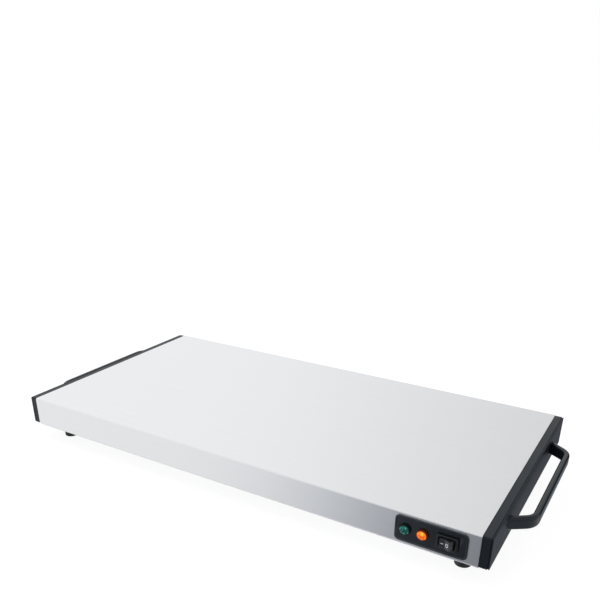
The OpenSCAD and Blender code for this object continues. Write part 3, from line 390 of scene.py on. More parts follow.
# glazed: white with a wet shine
finishes["glazed_porcelain"] = moulded(
    "porcelain_glazed", "#E4E0D6", "#EFECE4", pebble_mm=1.2, depth_mm=0.004, roughness=0.14)
# drawn over the wire: soft and half matt, in the colour that tells the wire's use
for slot, name, dark, light in (
        ("brown_silicone", "silicone_insulation_brown", "#6A3C20", "#7E4B2B"),
        ("black_silicone", "silicone_insulation_black", "#161616", "#202020"),
        ("blue_silicone", "silicone_insulation_blue", "#2A589C", "#3468B2")):
    finishes[slot] = moulded(name, dark, light, pebble_mm=0.3, depth_mm=0.01, roughness=0.55)
print("made", ", ".join(finishes[slot].name for slot in ("white_acetal", "steatite", "glazed_porcelain")))

# %% [markdown]
# ## Mica, glass wool and the earth wire's stripe
#
# Three hidden materials have a pattern of their own. Pressed mica is flakes, flat and pearly, in a shellac
# binder. Glass wool is a tangle of yellowish fibres. The earth wire carries a yellow stripe round green
# insulation. They are never seen while the tray is shut, and they are still finished, for the day when
# somebody takes the base off.

# %% Mica
def mica_sheet(flake_mm=(6.25, 4.545, 1.111)):
    """Flakes are large flattened Voronoi cells, each with its own shade of amber and its own shine."""
    made, tree, shader = new_material("mica_pressed_flakes", Coat_Weight=0.3)
    here = add_node(tree, "TexCoord").outputs["Object"]
    flat = add_node(tree, "Mapping", {"Vector": here, "Scale": tuple(1 / (size * MM) for size in flake_mm)})
    flakes = add_node(tree, "TexVoronoi", {"Vector": flat.outputs[0], "Scale": 1.0}).outputs["Distance"]
    shade = add_node(tree, "Mix", {0: flakes, MIX_A: linear("#B49C6A"), MIX_B: linear("#D8C698")},
                     data_type="RGBA")
    rough = add_node(tree, "MapRange", {"Value": flakes, "To Min": 0.22, "To Max": 0.5})
    connect(tree, shader, Base_Color=shade.outputs[MIX_RESULT], Roughness=rough.outputs[0])
    return made


finishes["mica_sheet"] = mica_sheet()
print("made", finishes["mica_sheet"].name)


# %% Glass wool
def glass_wool(fibre_mm=2.0):
    """Fibres are noise bent by noise: strong distortion draws out the cells into hair-like lines."""
    made, tree, shader = new_material("glass_wool_felted", Roughness=0.95, Sheen_Weight=0.3)
    here = add_node(tree, "TexCoord").outputs["Object"]
    fibres = add_node(tree, "TexNoise", {"Vector": here, "Scale": 1 / (fibre_mm * MM), "Detail": 6.0,
                                         "Distortion": 3.5}).outputs[0]
    shade = add_node(tree, "Mix", {0: fibres, MIX_A: linear("#BDB184"), MIX_B: linear("#ECE4C6")},
                     data_type="RGBA")
    relief = add_node(tree, "Bump", {"Height": fibres, "Distance": 0.6 * MM, "Strength": 0.8})
    connect(tree, shader, Base_Color=shade.outputs[MIX_RESULT], Normal=relief.outputs[0])
    return made


finishes["glass_wool"] = glass_wool()
print("made", finishes["glass_wool"].name)


# %% Striped insulation
def striped_insulation(band_mm=5.712):
    """A diagonal wave is sin(10 * scale * (x + y + z)), so its bands lie band_mm apart along a wire, and
    its crests, two fifths of each band, are yellow."""
    made, tree, shader = new_material("silicone_insulation_green_yellow", Roughness=0.55)
    here = add_node(tree, "TexCoord").outputs["Object"]
    scale = 2 * math.pi / (10 * band_mm * MM)
    bands = add_node(tree, "TexWave", {"Vector": here, "Scale": scale, "Distortion": 0.6},
                     bands_direction="DIAGONAL")
    edge = add_node(tree, "MapRange", {"Value": bands.outputs["Fac"], "From Min": 0.62, "From Max": 0.7})
    shade = add_node(tree, "Mix", {0: edge.outputs[0], MIX_A: linear("#3C8A32"), MIX_B: linear("#E2CC2E")},
                     data_type="RGBA")
    connect(tree, shader, Base_Color=shade.outputs[MIX_RESULT])
    return made


finishes["green_silicone"] = striped_insulation()
print("made", finishes["green_silicone"].name)

# %% [markdown]
# ## Neon bulbs
#
# A neon bulb is a small blown glass tube with gas between two electrodes. The gas glows a faint orange
# close to the metal. A volume would be the exact way, and nobody looks into the lamp, so the glow is a weak
# emission on clear glass, a little uneven.

# %% Neon glass
def neon_glass(cloud_mm=1.5):
    """Thin clear glass with the faint orange of the gas between its electrodes."""
    made, tree, shader = new_material("neon_bulb_blown_glass", Roughness=0.05, IOR=1.5,
                                      Transmission_Weight=0.6, Emission_Strength=0.6)
    here = add_node(tree, "TexCoord").outputs["Object"]
    gas = add_node(tree, "TexNoise", {"Vector": here, "Scale": 1 / (cloud_mm * MM)})
    shade = add_node(tree, "Mix", {0: gas.outputs[0], MIX_A: linear("#FFB070"), MIX_B: linear("#FFE2C4")},
                     data_type="RGBA").outputs[MIX_RESULT]
    connect(tree, shader, Base_Color=shade, Emission_Color=shade)
    return made


finishes["neon_glass"] = neon_glass()
print("finishes so far:", len(finishes))

# %% [markdown]
# ## Every solid gets its finish
#
# The record names a material slot for each solid. The loop gives each one the finish made for that slot.
# Solids whose shape is already right, such as the folded cover, screws, nuts and everything inside, keep
# their own mesh. The rest are replaced below by pieces with rounder edges and finer forms.

# %% Finish the solids
slot_of = {part["node"]: part["material_slot"] for part in frame["record"]["subparts"]}
for node_name, solid in frame["nodes"].items():
    if slot_of[node_name] in finishes:
        solid.data.materials.clear()
        solid.data.materials.append(finishes[slot_of[node_name]])
print("finished", sum(slot_of[node_name] in finishes for node_name in frame["nodes"]), "solids")


# %% Stand in for a solid
def put_on(made, finish, body, *nodes):
    """Gives a finished piece its material and its body, hides the solids it stands for, and prints their
    size.
    """
    made.data.materials.append(finish)
    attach(made, body)
    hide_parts(*nodes)
    low, high = (np.array(corner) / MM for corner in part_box(nodes[0]))
    print(made.name, len(made.data.polygons), "faces, in place of", ", ".join(nodes), "of",
          np.round(high - low, 1).tolist(), "mm")
    return made


print("slots in use:", len(set(slot_of.values())))

# %% [markdown]
# ## End caps
#
# Each end of the tray is closed by a moulded cap that shows as a narrow dark frame and reaches into the
# steel with a tongue. Its outer edge has a fine rebate that reads as a thin dark line, so that the cap
# looks like two pieces. The cap is one rounded outline carried along X. The line it follows goes from the
# inside floor round the tongue and rim to the end wall, and its corners are rounded as a mould's would be.

# %% End caps
TRAY_LENGTH, TRAY_DEPTH, COVER_HEIGHT = 600.0, 300.0, 36.0
COVER_MIDDLE = sum(corner[2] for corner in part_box("top_cover")) / 2 / MM
END, CAP_RADIUS = TRAY_LENGTH / 2, 2.2
RIM_START = END - 10.2
TONGUE_END = RIM_START - 12.0
# each corner is its X, how far it lies inside the cover's outline, and its radius
cap_line = rounded_line([
    (END - 2.4, 3.4, 0.0), (TONGUE_END, 3.4, 0.4), (TONGUE_END, 1.0, 0.4), (RIM_START, 1.0, 0.0),
    (RIM_START, 0.6, 0.2), (END - 2.0, 0.6, 0.2), (END - 2.0, 1.5, 0.05), (END - 0.8, 1.5, 0.05),
    (END - 0.8, 0.8, 0.1), (END, 0.8, 0.6), (END, 3.0, 0.0)], 5)


def end_cap(side):
    """Outlines of (depth - 2 inset) by (height - 2 inset), each at its own X. The side is 1 or -1."""
    place, inset = cap_line[:, 0], cap_line[:, 1]
    outline = rounded_outline(TRAY_DEPTH - 2 * inset, COVER_HEIGHT - 2 * inset,
                              np.maximum(CAP_RADIUS - inset, 0.5))
    across = np.broadcast_to(place[:, None], outline.shape[:2])
    return np.stack([side * across, outline[..., 0], outline[..., 1] + COVER_MIDDLE], -1)


for side, word in ((-1, "left"), (1, "right")):
    put_on(build(f"{word}_cap", [shell(end_cap(side))]), finishes["cap_plastic"], "tray",
           f"{word}_end_cap")

# %% [markdown]
# ## Handles
#
# A handle is a bow of black phenolic: two legs that lean towards each other and a bar between them. Its
# section is a tall bar with rounded edges, and a fine parting line runs along its upper outer edge, where
# the two halves of the mould met. The section is carried along the bow. Each point is the bow's point plus
# the section's width along the bow's normal and its height along Z, and both ends are cut by the cap.

# %% The handle's section and bow
HANDLE_LENGTH, HANDLE_OUT = 190.0, 24.0
HANDLE_MIDDLE = sum(corner[2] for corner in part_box("left_handle")) / 2 / MM
LEAN, BEND = math.radians(35), 17.0
half_w, half_h = 7.0 / 2, 14.0 / 2
leg_y = HANDLE_LENGTH / 2 - half_w / math.cos(LEAN)
section = rounded_line([
    (-half_w, -half_h, 3.0), (half_w, -half_h, 3.0), (half_w, half_h - 3.5, 0.05),
    (half_w - 0.4, half_h - 3.2, 0.05), (half_w, half_h - 2.9, 0.05), (half_w, half_h, 2.7),
    (-half_w, half_h, 3.0)], 9)


def bow(rows=20):
    """The handle's middle line and its normals. Each bend is an arc round a centre, centre + radius *
    (cos a, sin a), with (cos a, sin a) as its normal, and the bar is the gap between the two arcs. At the
    cap the normal is laid along Y and stretched by 1 / cos(lean), which cuts the leg flush."""
    bar_x, turn = HANDLE_OUT - half_w, math.pi / 2 - LEAN
    centre = leg_y - bar_x * math.tan(LEAN) - BEND * math.tan(turn / 2)
    angle = np.concatenate([np.linspace(turn, 0, rows), np.linspace(0, -turn, rows)])
    normal = np.stack([np.cos(angle), np.sin(angle)], -1)
    middle = np.stack([np.full(2 * rows, bar_x - BEND), np.repeat([centre, -centre], rows)], -1)
    middle = middle + BEND * normal
    ends = np.array([[0.0, leg_y], [0.0, -leg_y]])
    flush = np.array([[0.0, 1.0], [0.0, -1.0]]) / math.cos(LEAN)
    return np.concatenate([ends[:1], middle, ends[1:]]), np.concatenate([flush[:1], normal, flush[1:]])


print("the bow has", len(bow()[0]), "rows of", len(section), "points")


# %% Handles
def handle(side):
    """The bow's point + width * normal, at the section's height, on the left (-1) or right (1) cap."""
    middle, normal = bow()
    flat = middle[:, None] + normal[:, None] * section[None, :, :1]
    height = np.broadcast_to(section[:, 1] + HANDLE_MIDDLE, flat.shape[:2])
    return np.stack([side * (END + flat[..., 0]), flat[..., 1], height], -1)


for side, word in ((-1, "left"), (1, "right")):
    put_on(build(f"{word}_bar", [shell(handle(side))], sharp=50), finishes["handle_phenolic"], "tray",
           f"{word}_handle")

# %% [markdown]
# ## Feet
#
# Four rubber feet lift the tray about 21 mm, so that its heat doesn't reach the table. Each is a moulded
# plug with a shallow groove near its top, a rounded sole and a deep well for its screw. It is a turned
# part: one closed line of radius and height, carried round the foot's axis, and repeated at four places.

# %% Feet
FOOT_RADIUS, FOOT_HEIGHT, FOOT_BORE, FOOT_WELL, WELL_TOP, GROOVE = 8.5, 21.0, 2.3, 4.3, 8.0, 0.5
FOOT_X, FOOT_Y = END - 31.5, TRAY_DEPTH / 2 - 30.5
foot_line = rounded_line([
    (FOOT_BORE, WELL_TOP, 0.0), (FOOT_BORE, FOOT_HEIGHT, 0.0), (FOOT_RADIUS, FOOT_HEIGHT, 0.5),
    (FOOT_RADIUS, 16.6, 0.3), (FOOT_RADIUS - GROOVE, 16.2, 0.3), (FOOT_RADIUS - GROOVE, 15.6, 0.3),
    (FOOT_RADIUS, 15.2, 0.3), (FOOT_RADIUS, 0.0, 0.6), (FOOT_WELL, 0.0, 0.5),
    (FOOT_WELL, WELL_TOP, 0.0)], 6)
foot = turned(foot_line, 56)
places = [(x, y, 0.0) for x in (-FOOT_X, FOOT_X) for y in (-FOOT_Y, FOOT_Y)]
put_on(build("rubber_feet", [shell(foot + np.array(place), "joined") for place in places]),
       finishes["foot_rubber"], "tray", "feet")

# %% [markdown]
# ## Control panel
#
# The panel is a moulded plate that clips into a window in the steel. It stands 1.2 mm proud with a soft
# edge, and inside that edge its face drops by half a millimetre, which draws a fine frame round the
# controls. It is an outline carried through the plate, and the holes for the lamps and the switch are cut
# out of it, as a press would cut them.

# %% The panel's plate
SHEET, FRONT = 0.8, -TRAY_DEPTH / 2
PANEL_X, PANEL_FACE = 243.0, -151.2
PANEL_WIDTH, PANEL_HEIGHT, PANEL_RADIUS, PANEL_STEP = 72, 28.5, 5, 0.5
# each corner is its Y, how far it lies inside the panel's outline, and its radius
panel_line = rounded_line([
    (FRONT + SHEET, 2.5, 0.0), (FRONT, 2.5, 0.0), (FRONT, 0.0, 0.15), (PANEL_FACE, 0.0, 0.7),
    (PANEL_FACE, 1.4, 0.15), (PANEL_FACE + PANEL_STEP, 1.8, 0.2), (PANEL_FACE + PANEL_STEP, 3.0, 0.0)], 6)
inset = panel_line[:, 1]
outline = rounded_outline(PANEL_WIDTH - 2 * inset, PANEL_HEIGHT - 2 * inset,
                          np.maximum(PANEL_RADIUS - inset, 1.0))
depth = np.broadcast_to(panel_line[:, :1], outline.shape[:2])
plate = np.stack([outline[..., 0] + PANEL_X, depth, outline[..., 1] + COVER_MIDDLE], -1)
panel = build("panel_plate", [shell(plate)])
print("the panel's plate has", len(panel.data.polygons), "faces before its holes")

# %% The panel's holes
GREEN_X, ORANGE_X, SWITCH_X = 217.7, 235.2, 259.5
STEM_HOLE, SWITCH_HOLE_WIDTH, SWITCH_HOLE_HEIGHT = 10.0, 19.2, 13.1


def cutter(outline_uv, x):
    """A prism through the panel: an outline in X and Z, from in front of the plate to behind it."""
    depths = np.array([PANEL_FACE - 5, PANEL_FACE + 6])[:, None]
    u, v = outline_uv[None, :, 0] + x, outline_uv[None, :, 1] + COVER_MIDDLE
    return shell(np.stack(np.broadcast_arrays(u, depths, v), -1))


# the corner's radius is a hair under half the hole, so that no two points coincide
round_hole = rounded_outline(STEM_HOLE, STEM_HOLE, 4.999, 12)
switch_hole = rounded_outline(SWITCH_HOLE_WIDTH, SWITCH_HOLE_HEIGHT, 0.4, 4)
holes = build("panel_holes", [cutter(round_hole, GREEN_X), cutter(round_hole, ORANGE_X),
                              cutter(switch_hole, SWITCH_X)])
cut = panel.modifiers.new("holes", "BOOLEAN")
cut.object, cut.solver = holes, "EXACT"
panel.modifiers.move(1, 0)
finished = panel.evaluated_get(bpy.context.evaluated_depsgraph_get())
panel.data = bpy.data.meshes.new_from_object(finished)
panel.modifiers.clear()
bpy.data.objects.remove(holes)
put_on(panel, finishes["panel_abs"], "tray", "control_panel")

# %% [markdown]
# ## Dyed acrylic with a light inside
#
# Both lamps are dyed acrylic with cut facets over a small neon bulb. The green one is off, and still it
# glows a little: its deep teal, its lighter top and its glints on a few facets are painted light, a painted
# reflection and painted highlights, all carried by an emission. The orange one is lit, brightest in its upper
# middle where the bulb sits, and its rim stays dark because it lies beside the light. Real light through
# cut plastic takes many samples and bakes badly, so the light inside is an emission. Each facet has a
# value of its own, as an attribute on the mesh, that picks its shade, which is a painted reflection and,
# on a few facets, a painted glint. On both lenses the colour gets lighter towards the top, which is
# painted light, and the lamp's light falls off from the bulb's place.

# %% Acrylic
def cut_acrylic(name, bulb, rim, shades, glints, glint, strength):
    """A facet's height and its own value pick its shade: painted light that is lighter towards the top, and a
    painted reflection that differs from facet to facet. Past 0.75 a facet gets a painted glint. Near the bulb
    every facet takes the glint's colour, by a smooth step of the distance to it. Faces of value 0 are the
    rim."""
    made, tree, shader = new_material(name, Roughness=0.2, IOR=1.49, Specular_IOR_Level=0.12,
                                      Emission_Strength=strength)
    here = add_node(tree, "TexCoord").outputs["Object"]
    facet = add_node(tree, "Attribute", attribute_name="facet").outputs["Fac"]
    away = add_node(tree, "VectorMath", {0: here, 1: tuple(np.array(bulb) * MM)}, operation="DISTANCE")
    near = add_node(tree, "MapRange", {"Value": away.outputs["Value"], "From Min": 0.4 * MM,
                                       "From Max": 1.9 * MM, "To Min": 0.9, "To Max": 0.0},
                    interpolation_type="SMOOTHSTEP")
    # painted glint: facets whose value passes 0.75 are made brighter, as if they caught the light
    painted_glint = add_node(tree, "MapRange", {"Value": facet, "From Min": 0.75, "From Max": 1.0, "To Min": 0.0,
                                          "To Max": glint})
    bright = add_node(tree, "Math", {0: near.outputs[0], 1: painted_glint.outputs[0]}, operation="MAXIMUM")
    # painted light: the colour is lighter towards the top, mixed with each facet's painted reflection
    height = add_node(tree, "SeparateXYZ", {0: here})
    upper = add_node(tree, "MapRange", {"Value": height.outputs["Z"], "From Min": (COVER_MIDDLE - 4) * MM,
                                        "From Max": (COVER_MIDDLE + 3.5) * MM})
    light = add_node(tree, "Mix", {0: 0.3, 2: upper.outputs[0], 3: facet})
    body = add_node(tree, "Mix", {0: light.outputs[0], MIX_A: linear(shades[0]), MIX_B: linear(shades[1])},
                    data_type="RGBA")
    glow = add_node(tree, "Mix", {0: bright.outputs[0], MIX_A: body.outputs[MIX_RESULT],
                                  MIX_B: linear(glints)}, data_type="RGBA")
    inside = add_node(tree, "Math", {0: facet, 1: 0.05}, operation="GREATER_THAN")
    colour = add_node(tree, "Mix", {0: inside.outputs[0], MIX_A: linear(rim),
                                    MIX_B: glow.outputs[MIX_RESULT]}, data_type="RGBA").outputs[MIX_RESULT]
    base = add_node(tree, "Mix", {0: 0.75, MIX_A: colour, MIX_B: linear(rim)}, data_type="RGBA")
    connect(tree, shader, Base_Color=base.outputs[MIX_RESULT], Emission_Color=colour)
    return made


# off, yet glowing: deep teal with a few painted glints, all painted light, and no bulb near enough to light a
# facet
green_painted_glow = cut_acrylic("acrylic_jewel_green_painted_glow", (GREEN_X, 0, 0), "#030C0C", ("#061F1E", "#1F5450"),
                           "#4FB5AA", glint=0.7, strength=0.8)
# lit: red at the bottom, orange above, painted lighter towards the top, yellow round the bulb, and a few
# weaker painted glints
orange_finish = cut_acrylic("acrylic_jewel_orange_painted_glints", (ORANGE_X + 0.7, PANEL_FACE - 3.2, COVER_MIDDLE + 2.8),
                            "#360F02", ("#C82400", "#F98226"), "#FFDC48", glint=0.35, strength=0.95)
print("made", green_painted_glow.name, "and", orange_finish.name)

# %% [markdown]
# ## Cut lenses
#
# The lamps' lenses are moulded with a cut crown, as glass jewels were, so that a small bulb fills them
# with sparks. The crown is rings of triangles on a dome: each ring is turned by half a step against the
# one before, so that each triangle tilts its own way. The smooth rim and the stem behind the panel are a
# turned part.

# %% The crown
LENS_RADIUS, LENS_OUT, RIM, DOME = 6.0, 4.0, 1.2, 7.0
STEM_RADIUS, STEM_LENGTH, CROWN_EDGE = 4.9, 18.0, 4.75
# each corner is its radius, how far it stands out of the panel, and its own radius
lens_line = rounded_line([
    (0.4, -STEM_LENGTH, 0.0), (STEM_RADIUS, -STEM_LENGTH, 0.3), (STEM_RADIUS, 0.0, 0.0),
    (LENS_RADIUS, 0.0, 0.1), (LENS_RADIUS, RIM, 0.35), (5.0, RIM, 0.0)], 5)


def cut_crown(sectors=14):
    """Rings on a dome of radius d whose top lies at the lens's height h: ring k lies at polar angle p(k),
    at (d sin p, d cos p - (d - h)), and is turned by k half steps. Each quad between two rings is two
    triangles that share the turned edge."""
    polar = np.radians([53.1, 43.0, 32.0, 21.0, 10.0])
    k = np.arange(len(polar))[:, None]
    angle = (np.arange(sectors)[None, :] + k / 2) * 2 * np.pi / sectors
    ring = DOME * np.sin(polar)[:, None]
    height = np.broadcast_to((DOME * np.cos(polar) - (DOME - LENS_OUT))[:, None], angle.shape)
    points = np.stack([ring * np.cos(angle), ring * np.sin(angle), height], -1)
    i, j = np.meshgrid(np.arange(len(polar) - 1), np.arange(sectors), indexing="ij")
    a, b = i * sectors + j, i * sectors + (j + 1) % sectors
    c, d = a + sectors, b + sectors
    lower, upper = np.stack([a, b, c], -1).reshape(-1, 3), np.stack([b, d, c], -1).reshape(-1, 3)
    last = (len(polar) - 1) * sectors
    caps = [list(range(sectors))[::-1], list(range(last, last + sectors))]
    return points.reshape(-1, 3), np.concatenate([lower, upper]).tolist() + caps


print("the crown has", len(cut_crown()[1]) - 2, "triangles and 2 caps")


# %% Lenses
def stood_on_panel(part, x):
    """Turns a part that points up Z so that it points out of the panel: (x, y, z) to (x, -z, y)."""
    points, faces = part
    return np.stack([points[:, 0] + x, PANEL_FACE - points[:, 2], points[:, 1] + COVER_MIDDLE], -1), faces


def paint_facet_reflections(jewel, x):
    """One value a face for its painted reflection and painted glint: 0 on the rim and stem, and on the crown
    0.1 to 1 from a sine's far decimals.
    """
    faces = jewel.data.polygons
    centres = np.empty(len(faces) * 3)
    faces.foreach_get("center", centres)
    centres = centres.reshape(-1, 3) / MM - (x, PANEL_FACE, COVER_MIDDLE)
    crown = (np.hypot(centres[:, 0], centres[:, 2]) < CROWN_EDGE) & (centres[:, 1] < -RIM)
    value = np.modf(np.abs(np.sin(centres[:, 0] * 12.99 + centres[:, 2] * 78.23)) * 437.5)[0]
    attribute = jewel.data.attributes.new("facet", "FLOAT", "FACE")
    attribute.data.foreach_set("value", np.where(crown, 0.1 + 0.9 * value, 0.0))
    print(jewel.name, "has", int(crown.sum()), "lit facets")


for word, x, finish in (("green", GREEN_X, green_painted_glow), ("orange", ORANGE_X, orange_finish)):
    parts = [stood_on_panel(shell(turned(lens_line, 48)), x), stood_on_panel(cut_crown(), x)]
    jewel = build(f"{word}_jewel", parts, sharp=4, weighted=False)
    paint_facet_reflections(jewel, x)
    put_on(jewel, finish, "tray", f"{word}_lens")

# %% [markdown]
# ## Switch frame
#
# The switch is a standard small rocker: a frame with a soft edge that drops into a pit, and a rocker in
# the pit. The frame could be a bevelled block with a hole. It is an outline carried out of the panel, over
# the edge and down to the floor of the pit, which gives its edge and its pit one smooth skin.

# %% Switch frame
PIVOT = np.array([SWITCH_X, PANEL_FACE, COVER_MIDDLE])
SWITCH_WIDTH, SWITCH_HEIGHT, SWITCH_RADIUS = 21, 15, 1.5
# each corner is its depth behind the panel's face, how far it lies inside the outline, and its radius
frame_line = rounded_line([
    (13.5, 1.0, 0.0), (0.0, 1.0, 0.0), (0.0, 0.0, 0.1), (-2.0, 0.0, 0.6), (-2.0, 2.2, 0.5), (-1.2, 2.9, 0.3),
    (12.0, 2.9, 0.0)], 6)
inset = frame_line[:, 1]
high_inset = np.interp(inset, [0.0, 1.0, 2.9], [0.0, 1.0, 2.15])
outline = rounded_outline(SWITCH_WIDTH - 2 * inset, SWITCH_HEIGHT - 2 * high_inset,
                          np.maximum(SWITCH_RADIUS - inset, 0.5))
depth = np.broadcast_to(frame_line[:, :1], outline.shape[:2])
bezel = np.stack([outline[..., 0], depth, outline[..., 1]], -1) + PIVOT
put_on(build("switch_bezel", [shell(bezel)]), finishes["switch_nylon"], "tray", "switch_housing")

# %% [markdown]
# ## Rocker
#
# The rocker's two wings meet in a shallow valley, and it turns on a pin at the level of the panel's face.
# It rests with its left wing pressed in. It could be cut from a block. Here its side view is carried
# across and tilted, and a bevel gives it the same soft edge all round, as its mould would.

# %% Rocker
HALF_WIDTH, TIP_X, TIP, SHOULDER, ROCKER_BACK, ROCKER_HALF_HEIGHT = 6.6, 5.4, 5.2, 1.2, 3.6, 4.7
WING, TILT = math.radians(13.5), math.radians(-14)
DIP = TIP - TIP_X * math.tan(WING)
side_view = rounded_line([
    (-HALF_WIDTH, ROCKER_BACK, 0.3), (-HALF_WIDTH, -SHOULDER, 0.3), (-TIP_X, -TIP, 0.45), (0.0, -DIP, 1.5),
    (TIP_X, -TIP, 0.45), (HALF_WIDTH, -SHOULDER, 0.3), (HALF_WIDTH, ROCKER_BACK, 0.3)], 6)


def tilted(points):
    """Turns points about the rocker's pin by its rest angle, then puts them at the pin."""
    turn = np.array([[math.cos(TILT), -math.sin(TILT), 0], [math.sin(TILT), math.cos(TILT), 0], [0, 0, 1]])
    return points @ turn.T + PIVOT


across = np.array([-ROCKER_HALF_HEIGHT, ROCKER_HALF_HEIGHT])[:, None]
prism = np.stack(np.broadcast_arrays(side_view[None, :, 0], side_view[None, :, 1], across), -1)
points, faces = shell(prism)
rocker = build("rocker_key", [(tilted(points), faces)], sharp=40, weighted=False)
edge = rocker.modifiers.new("soft edge", "BEVEL")
edge.width, edge.segments, edge.limit_method, edge.angle_limit = 0.35 * MM, 3, "ANGLE", math.radians(50)
rocker.modifiers.new("flat faces stay flat", "WEIGHTED_NORMAL").keep_sharp = True
put_on(rocker, finishes["rocker_polycarbonate"], "rocker", "rocker")

# %% [markdown]
# ## Marks on the rocker
#
# The marks are printed: a line for on, and a ring for off. Printing is a film far thinner than a hair, and
# a flat decal would flicker against the face, so each mark is a closed sliver 0.06 mm proud of its wing.

# %% Marks
LIFT, SINK = 0.06, -0.05
LINE, RING, RING_HOLE = (2.7, 0.7), (3.2, 4.0), (1.7, 2.5)


def mark_on_wing(inner, outer, wing, middle):
    """A flat ring between two outlines, (u, v) on a wing: u runs along the wing's slope and v along Z."""
    slope = np.array([math.cos(WING), -wing * math.sin(WING), 0.0])
    out = np.array([-wing * math.sin(WING), -math.cos(WING), 0.0])
    start = np.array([0.0, -DIP, 0.0]) + slope * wing * middle
    u = np.stack([outer, outer, inner, inner])
    lift = np.array([SINK, LIFT, LIFT, SINK])[:, None, None]
    grid = start + u[..., :1] * slope + u[..., 1:] * np.array([0.0, 0.0, 1.0]) + lift * out
    points, faces = shell(grid, "joined")
    return tilted(points), faces


# the line is a ring whose hole has all but closed
line_mark = mark_on_wing(rounded_outline(2.0, 0.06, 0.02, 4), rounded_outline(*LINE, 0.1, 4), -1, 2.9)
ring_mark = mark_on_wing(rounded_outline(*RING_HOLE, 0.84, 8), rounded_outline(*RING, 1.58, 8), 1, 2.4)
# pad printed: an even, slightly grey white with no shine of its own
white_ink = moulded("ink_pad_printed_white", "#C2C5CA", "#CDD0D5", pebble_mm=0.3, depth_mm=0.004,
                    roughness=0.5)
marks = build("rocker_marks", [line_mark, ring_mark], weighted=False)
marks.data.materials.append(white_ink)
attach(marks, "rocker")
print("marks: a line on the left wing and a ring on the right")

# %% [markdown]
# ## Cord gland
#
# The cord enters at the back through a moulded gland: a flange against the steel, a ribbed collar for the
# fingers, and a rolled mouth. It is a turned part whose radius is waved round the collar:
# r - depth * (1 + cos(ribs * angle)), only on the rows that belong to the collar.

# %% Cord gland
GLAND_X, BACK, RIBS, RIB_DEPTH = 180.0, TRAY_DEPTH / 2, 24, 0.3
# each corner is its radius, how far it stands out of the back, and its own radius
gland_line = rounded_line([
    (3.6, -12.0, 0.0), (7.5, -12.0, 0.4), (7.5, 0.0, 0.0), (10.0, 0.0, 0.2), (10.0, 2.0, 0.5),
    (8.9, 2.0, 0.1), (8.9, 6.2, 0.9), (7.0, 7.3, 0.6), (3.6, 7.3, 0.9)], 6)
gland = turned(gland_line, 144)
angle = np.arctan2(gland[..., 1], gland[..., 0])
on_collar = gland_line[:, :1] > 8.5
collar = np.interp(gland_line[:, 1], [2.3, 2.8, 5.4, 6.4], [0, 1, 1, 0])[:, None] * on_collar
radius = gland_line[:, :1] - RIB_DEPTH * collar * (1 + np.cos(RIBS * angle))
points = np.stack([GLAND_X - radius * np.cos(angle), BACK + gland[..., 2],
                   COVER_MIDDLE + radius * np.sin(angle)], -1)
put_on(build("gland_body", [shell(points, "joined")]), finishes["black_nylon"], "tray", "cord_gland")

# %% [markdown]
# ## The table
#
# The tray stands on a white table. A plain white plane would do for matt things. The steel's front
# mirrors what lies before it, though, and would be one flat white. So the table is white in soft light,
# white with the tray's shadow for the camera, and clear in reflections, where the steel sees the room.

# %% Table
def white_table():
    """Matt white for soft light, clear for reflections, and white with the shadow kept for the camera."""
    made, tree, shader = new_material("studio_table_white", Roughness=0.9, Specular_IOR_Level=0.0)
    shader.inputs["Base Color"].default_value = linear("#E8E8E8")
    ray = add_node(tree, "LightPath")
    seen = add_node(tree, "Emission", {"Color": (1, 1, 1, 1), "Strength": 0.90})
    shadow = add_node(tree, "BsdfDiffuse", {"Color": (0.16, 0.16, 0.16, 1)})
    camera_sees = add_node(tree, "AddShader", {0: seen.outputs[0], 1: shadow.outputs[0]})
    clear = add_node(tree, "BsdfTransparent")
    mirror = add_node(tree, "Math", {0: ray.outputs["Is Glossy Ray"], 1: ray.outputs["Is Transmission Ray"]},
                      operation="MAXIMUM")
    unseen = add_node(tree, "MixShader", {0: mirror.outputs[0], 1: shader.outputs[0], 2: clear.outputs[0]})
    pick = add_node(tree, "MixShader", {0: ray.outputs["Is Camera Ray"], 1: unseen.outputs[0],
                                        2: camera_sees.outputs[0]})
    tree.links.new(pick.outputs[0], tree.nodes["Material Output"].inputs["Surface"])
    return made


bpy.ops.mesh.primitive_plane_add(size=12)
table = bpy.context.object
table.name = "studio_table"
table.data.materials.append(white_table())
print("table", round(table.dimensions.x), "m across")

# %% [markdown]
# ## The room
#
# Polished things only look good when they have something to reflect, so the room isn't even. It is
# brighter to the left than to the right, dark and cool low down in front, and slightly dimmer all over
# the front. At the back it has a dark patch on the horizon and a cooler, weaker one below. The camera
# sees plain white instead. Cards and flags round a real table do the same, and here each is a smooth step.

# %% Room
def darker_towards(tree, look, direction, start, full, level):
    """1 away from a direction, and level towards it: a smooth step on the cosine of the angle to it."""
    toward = np.array(direction) / np.linalg.norm(direction)
    cosine = add_node(tree, "VectorMath", {0: look, 1: tuple(toward)}, operation="DOT_PRODUCT")
    return add_node(tree, "MapRange", {"Value": cosine.outputs["Value"], "From Min": start,
                                       "From Max": full, "To Min": 1.0, "To Max": level},
                    interpolation_type="SMOOTHSTEP").outputs[0]


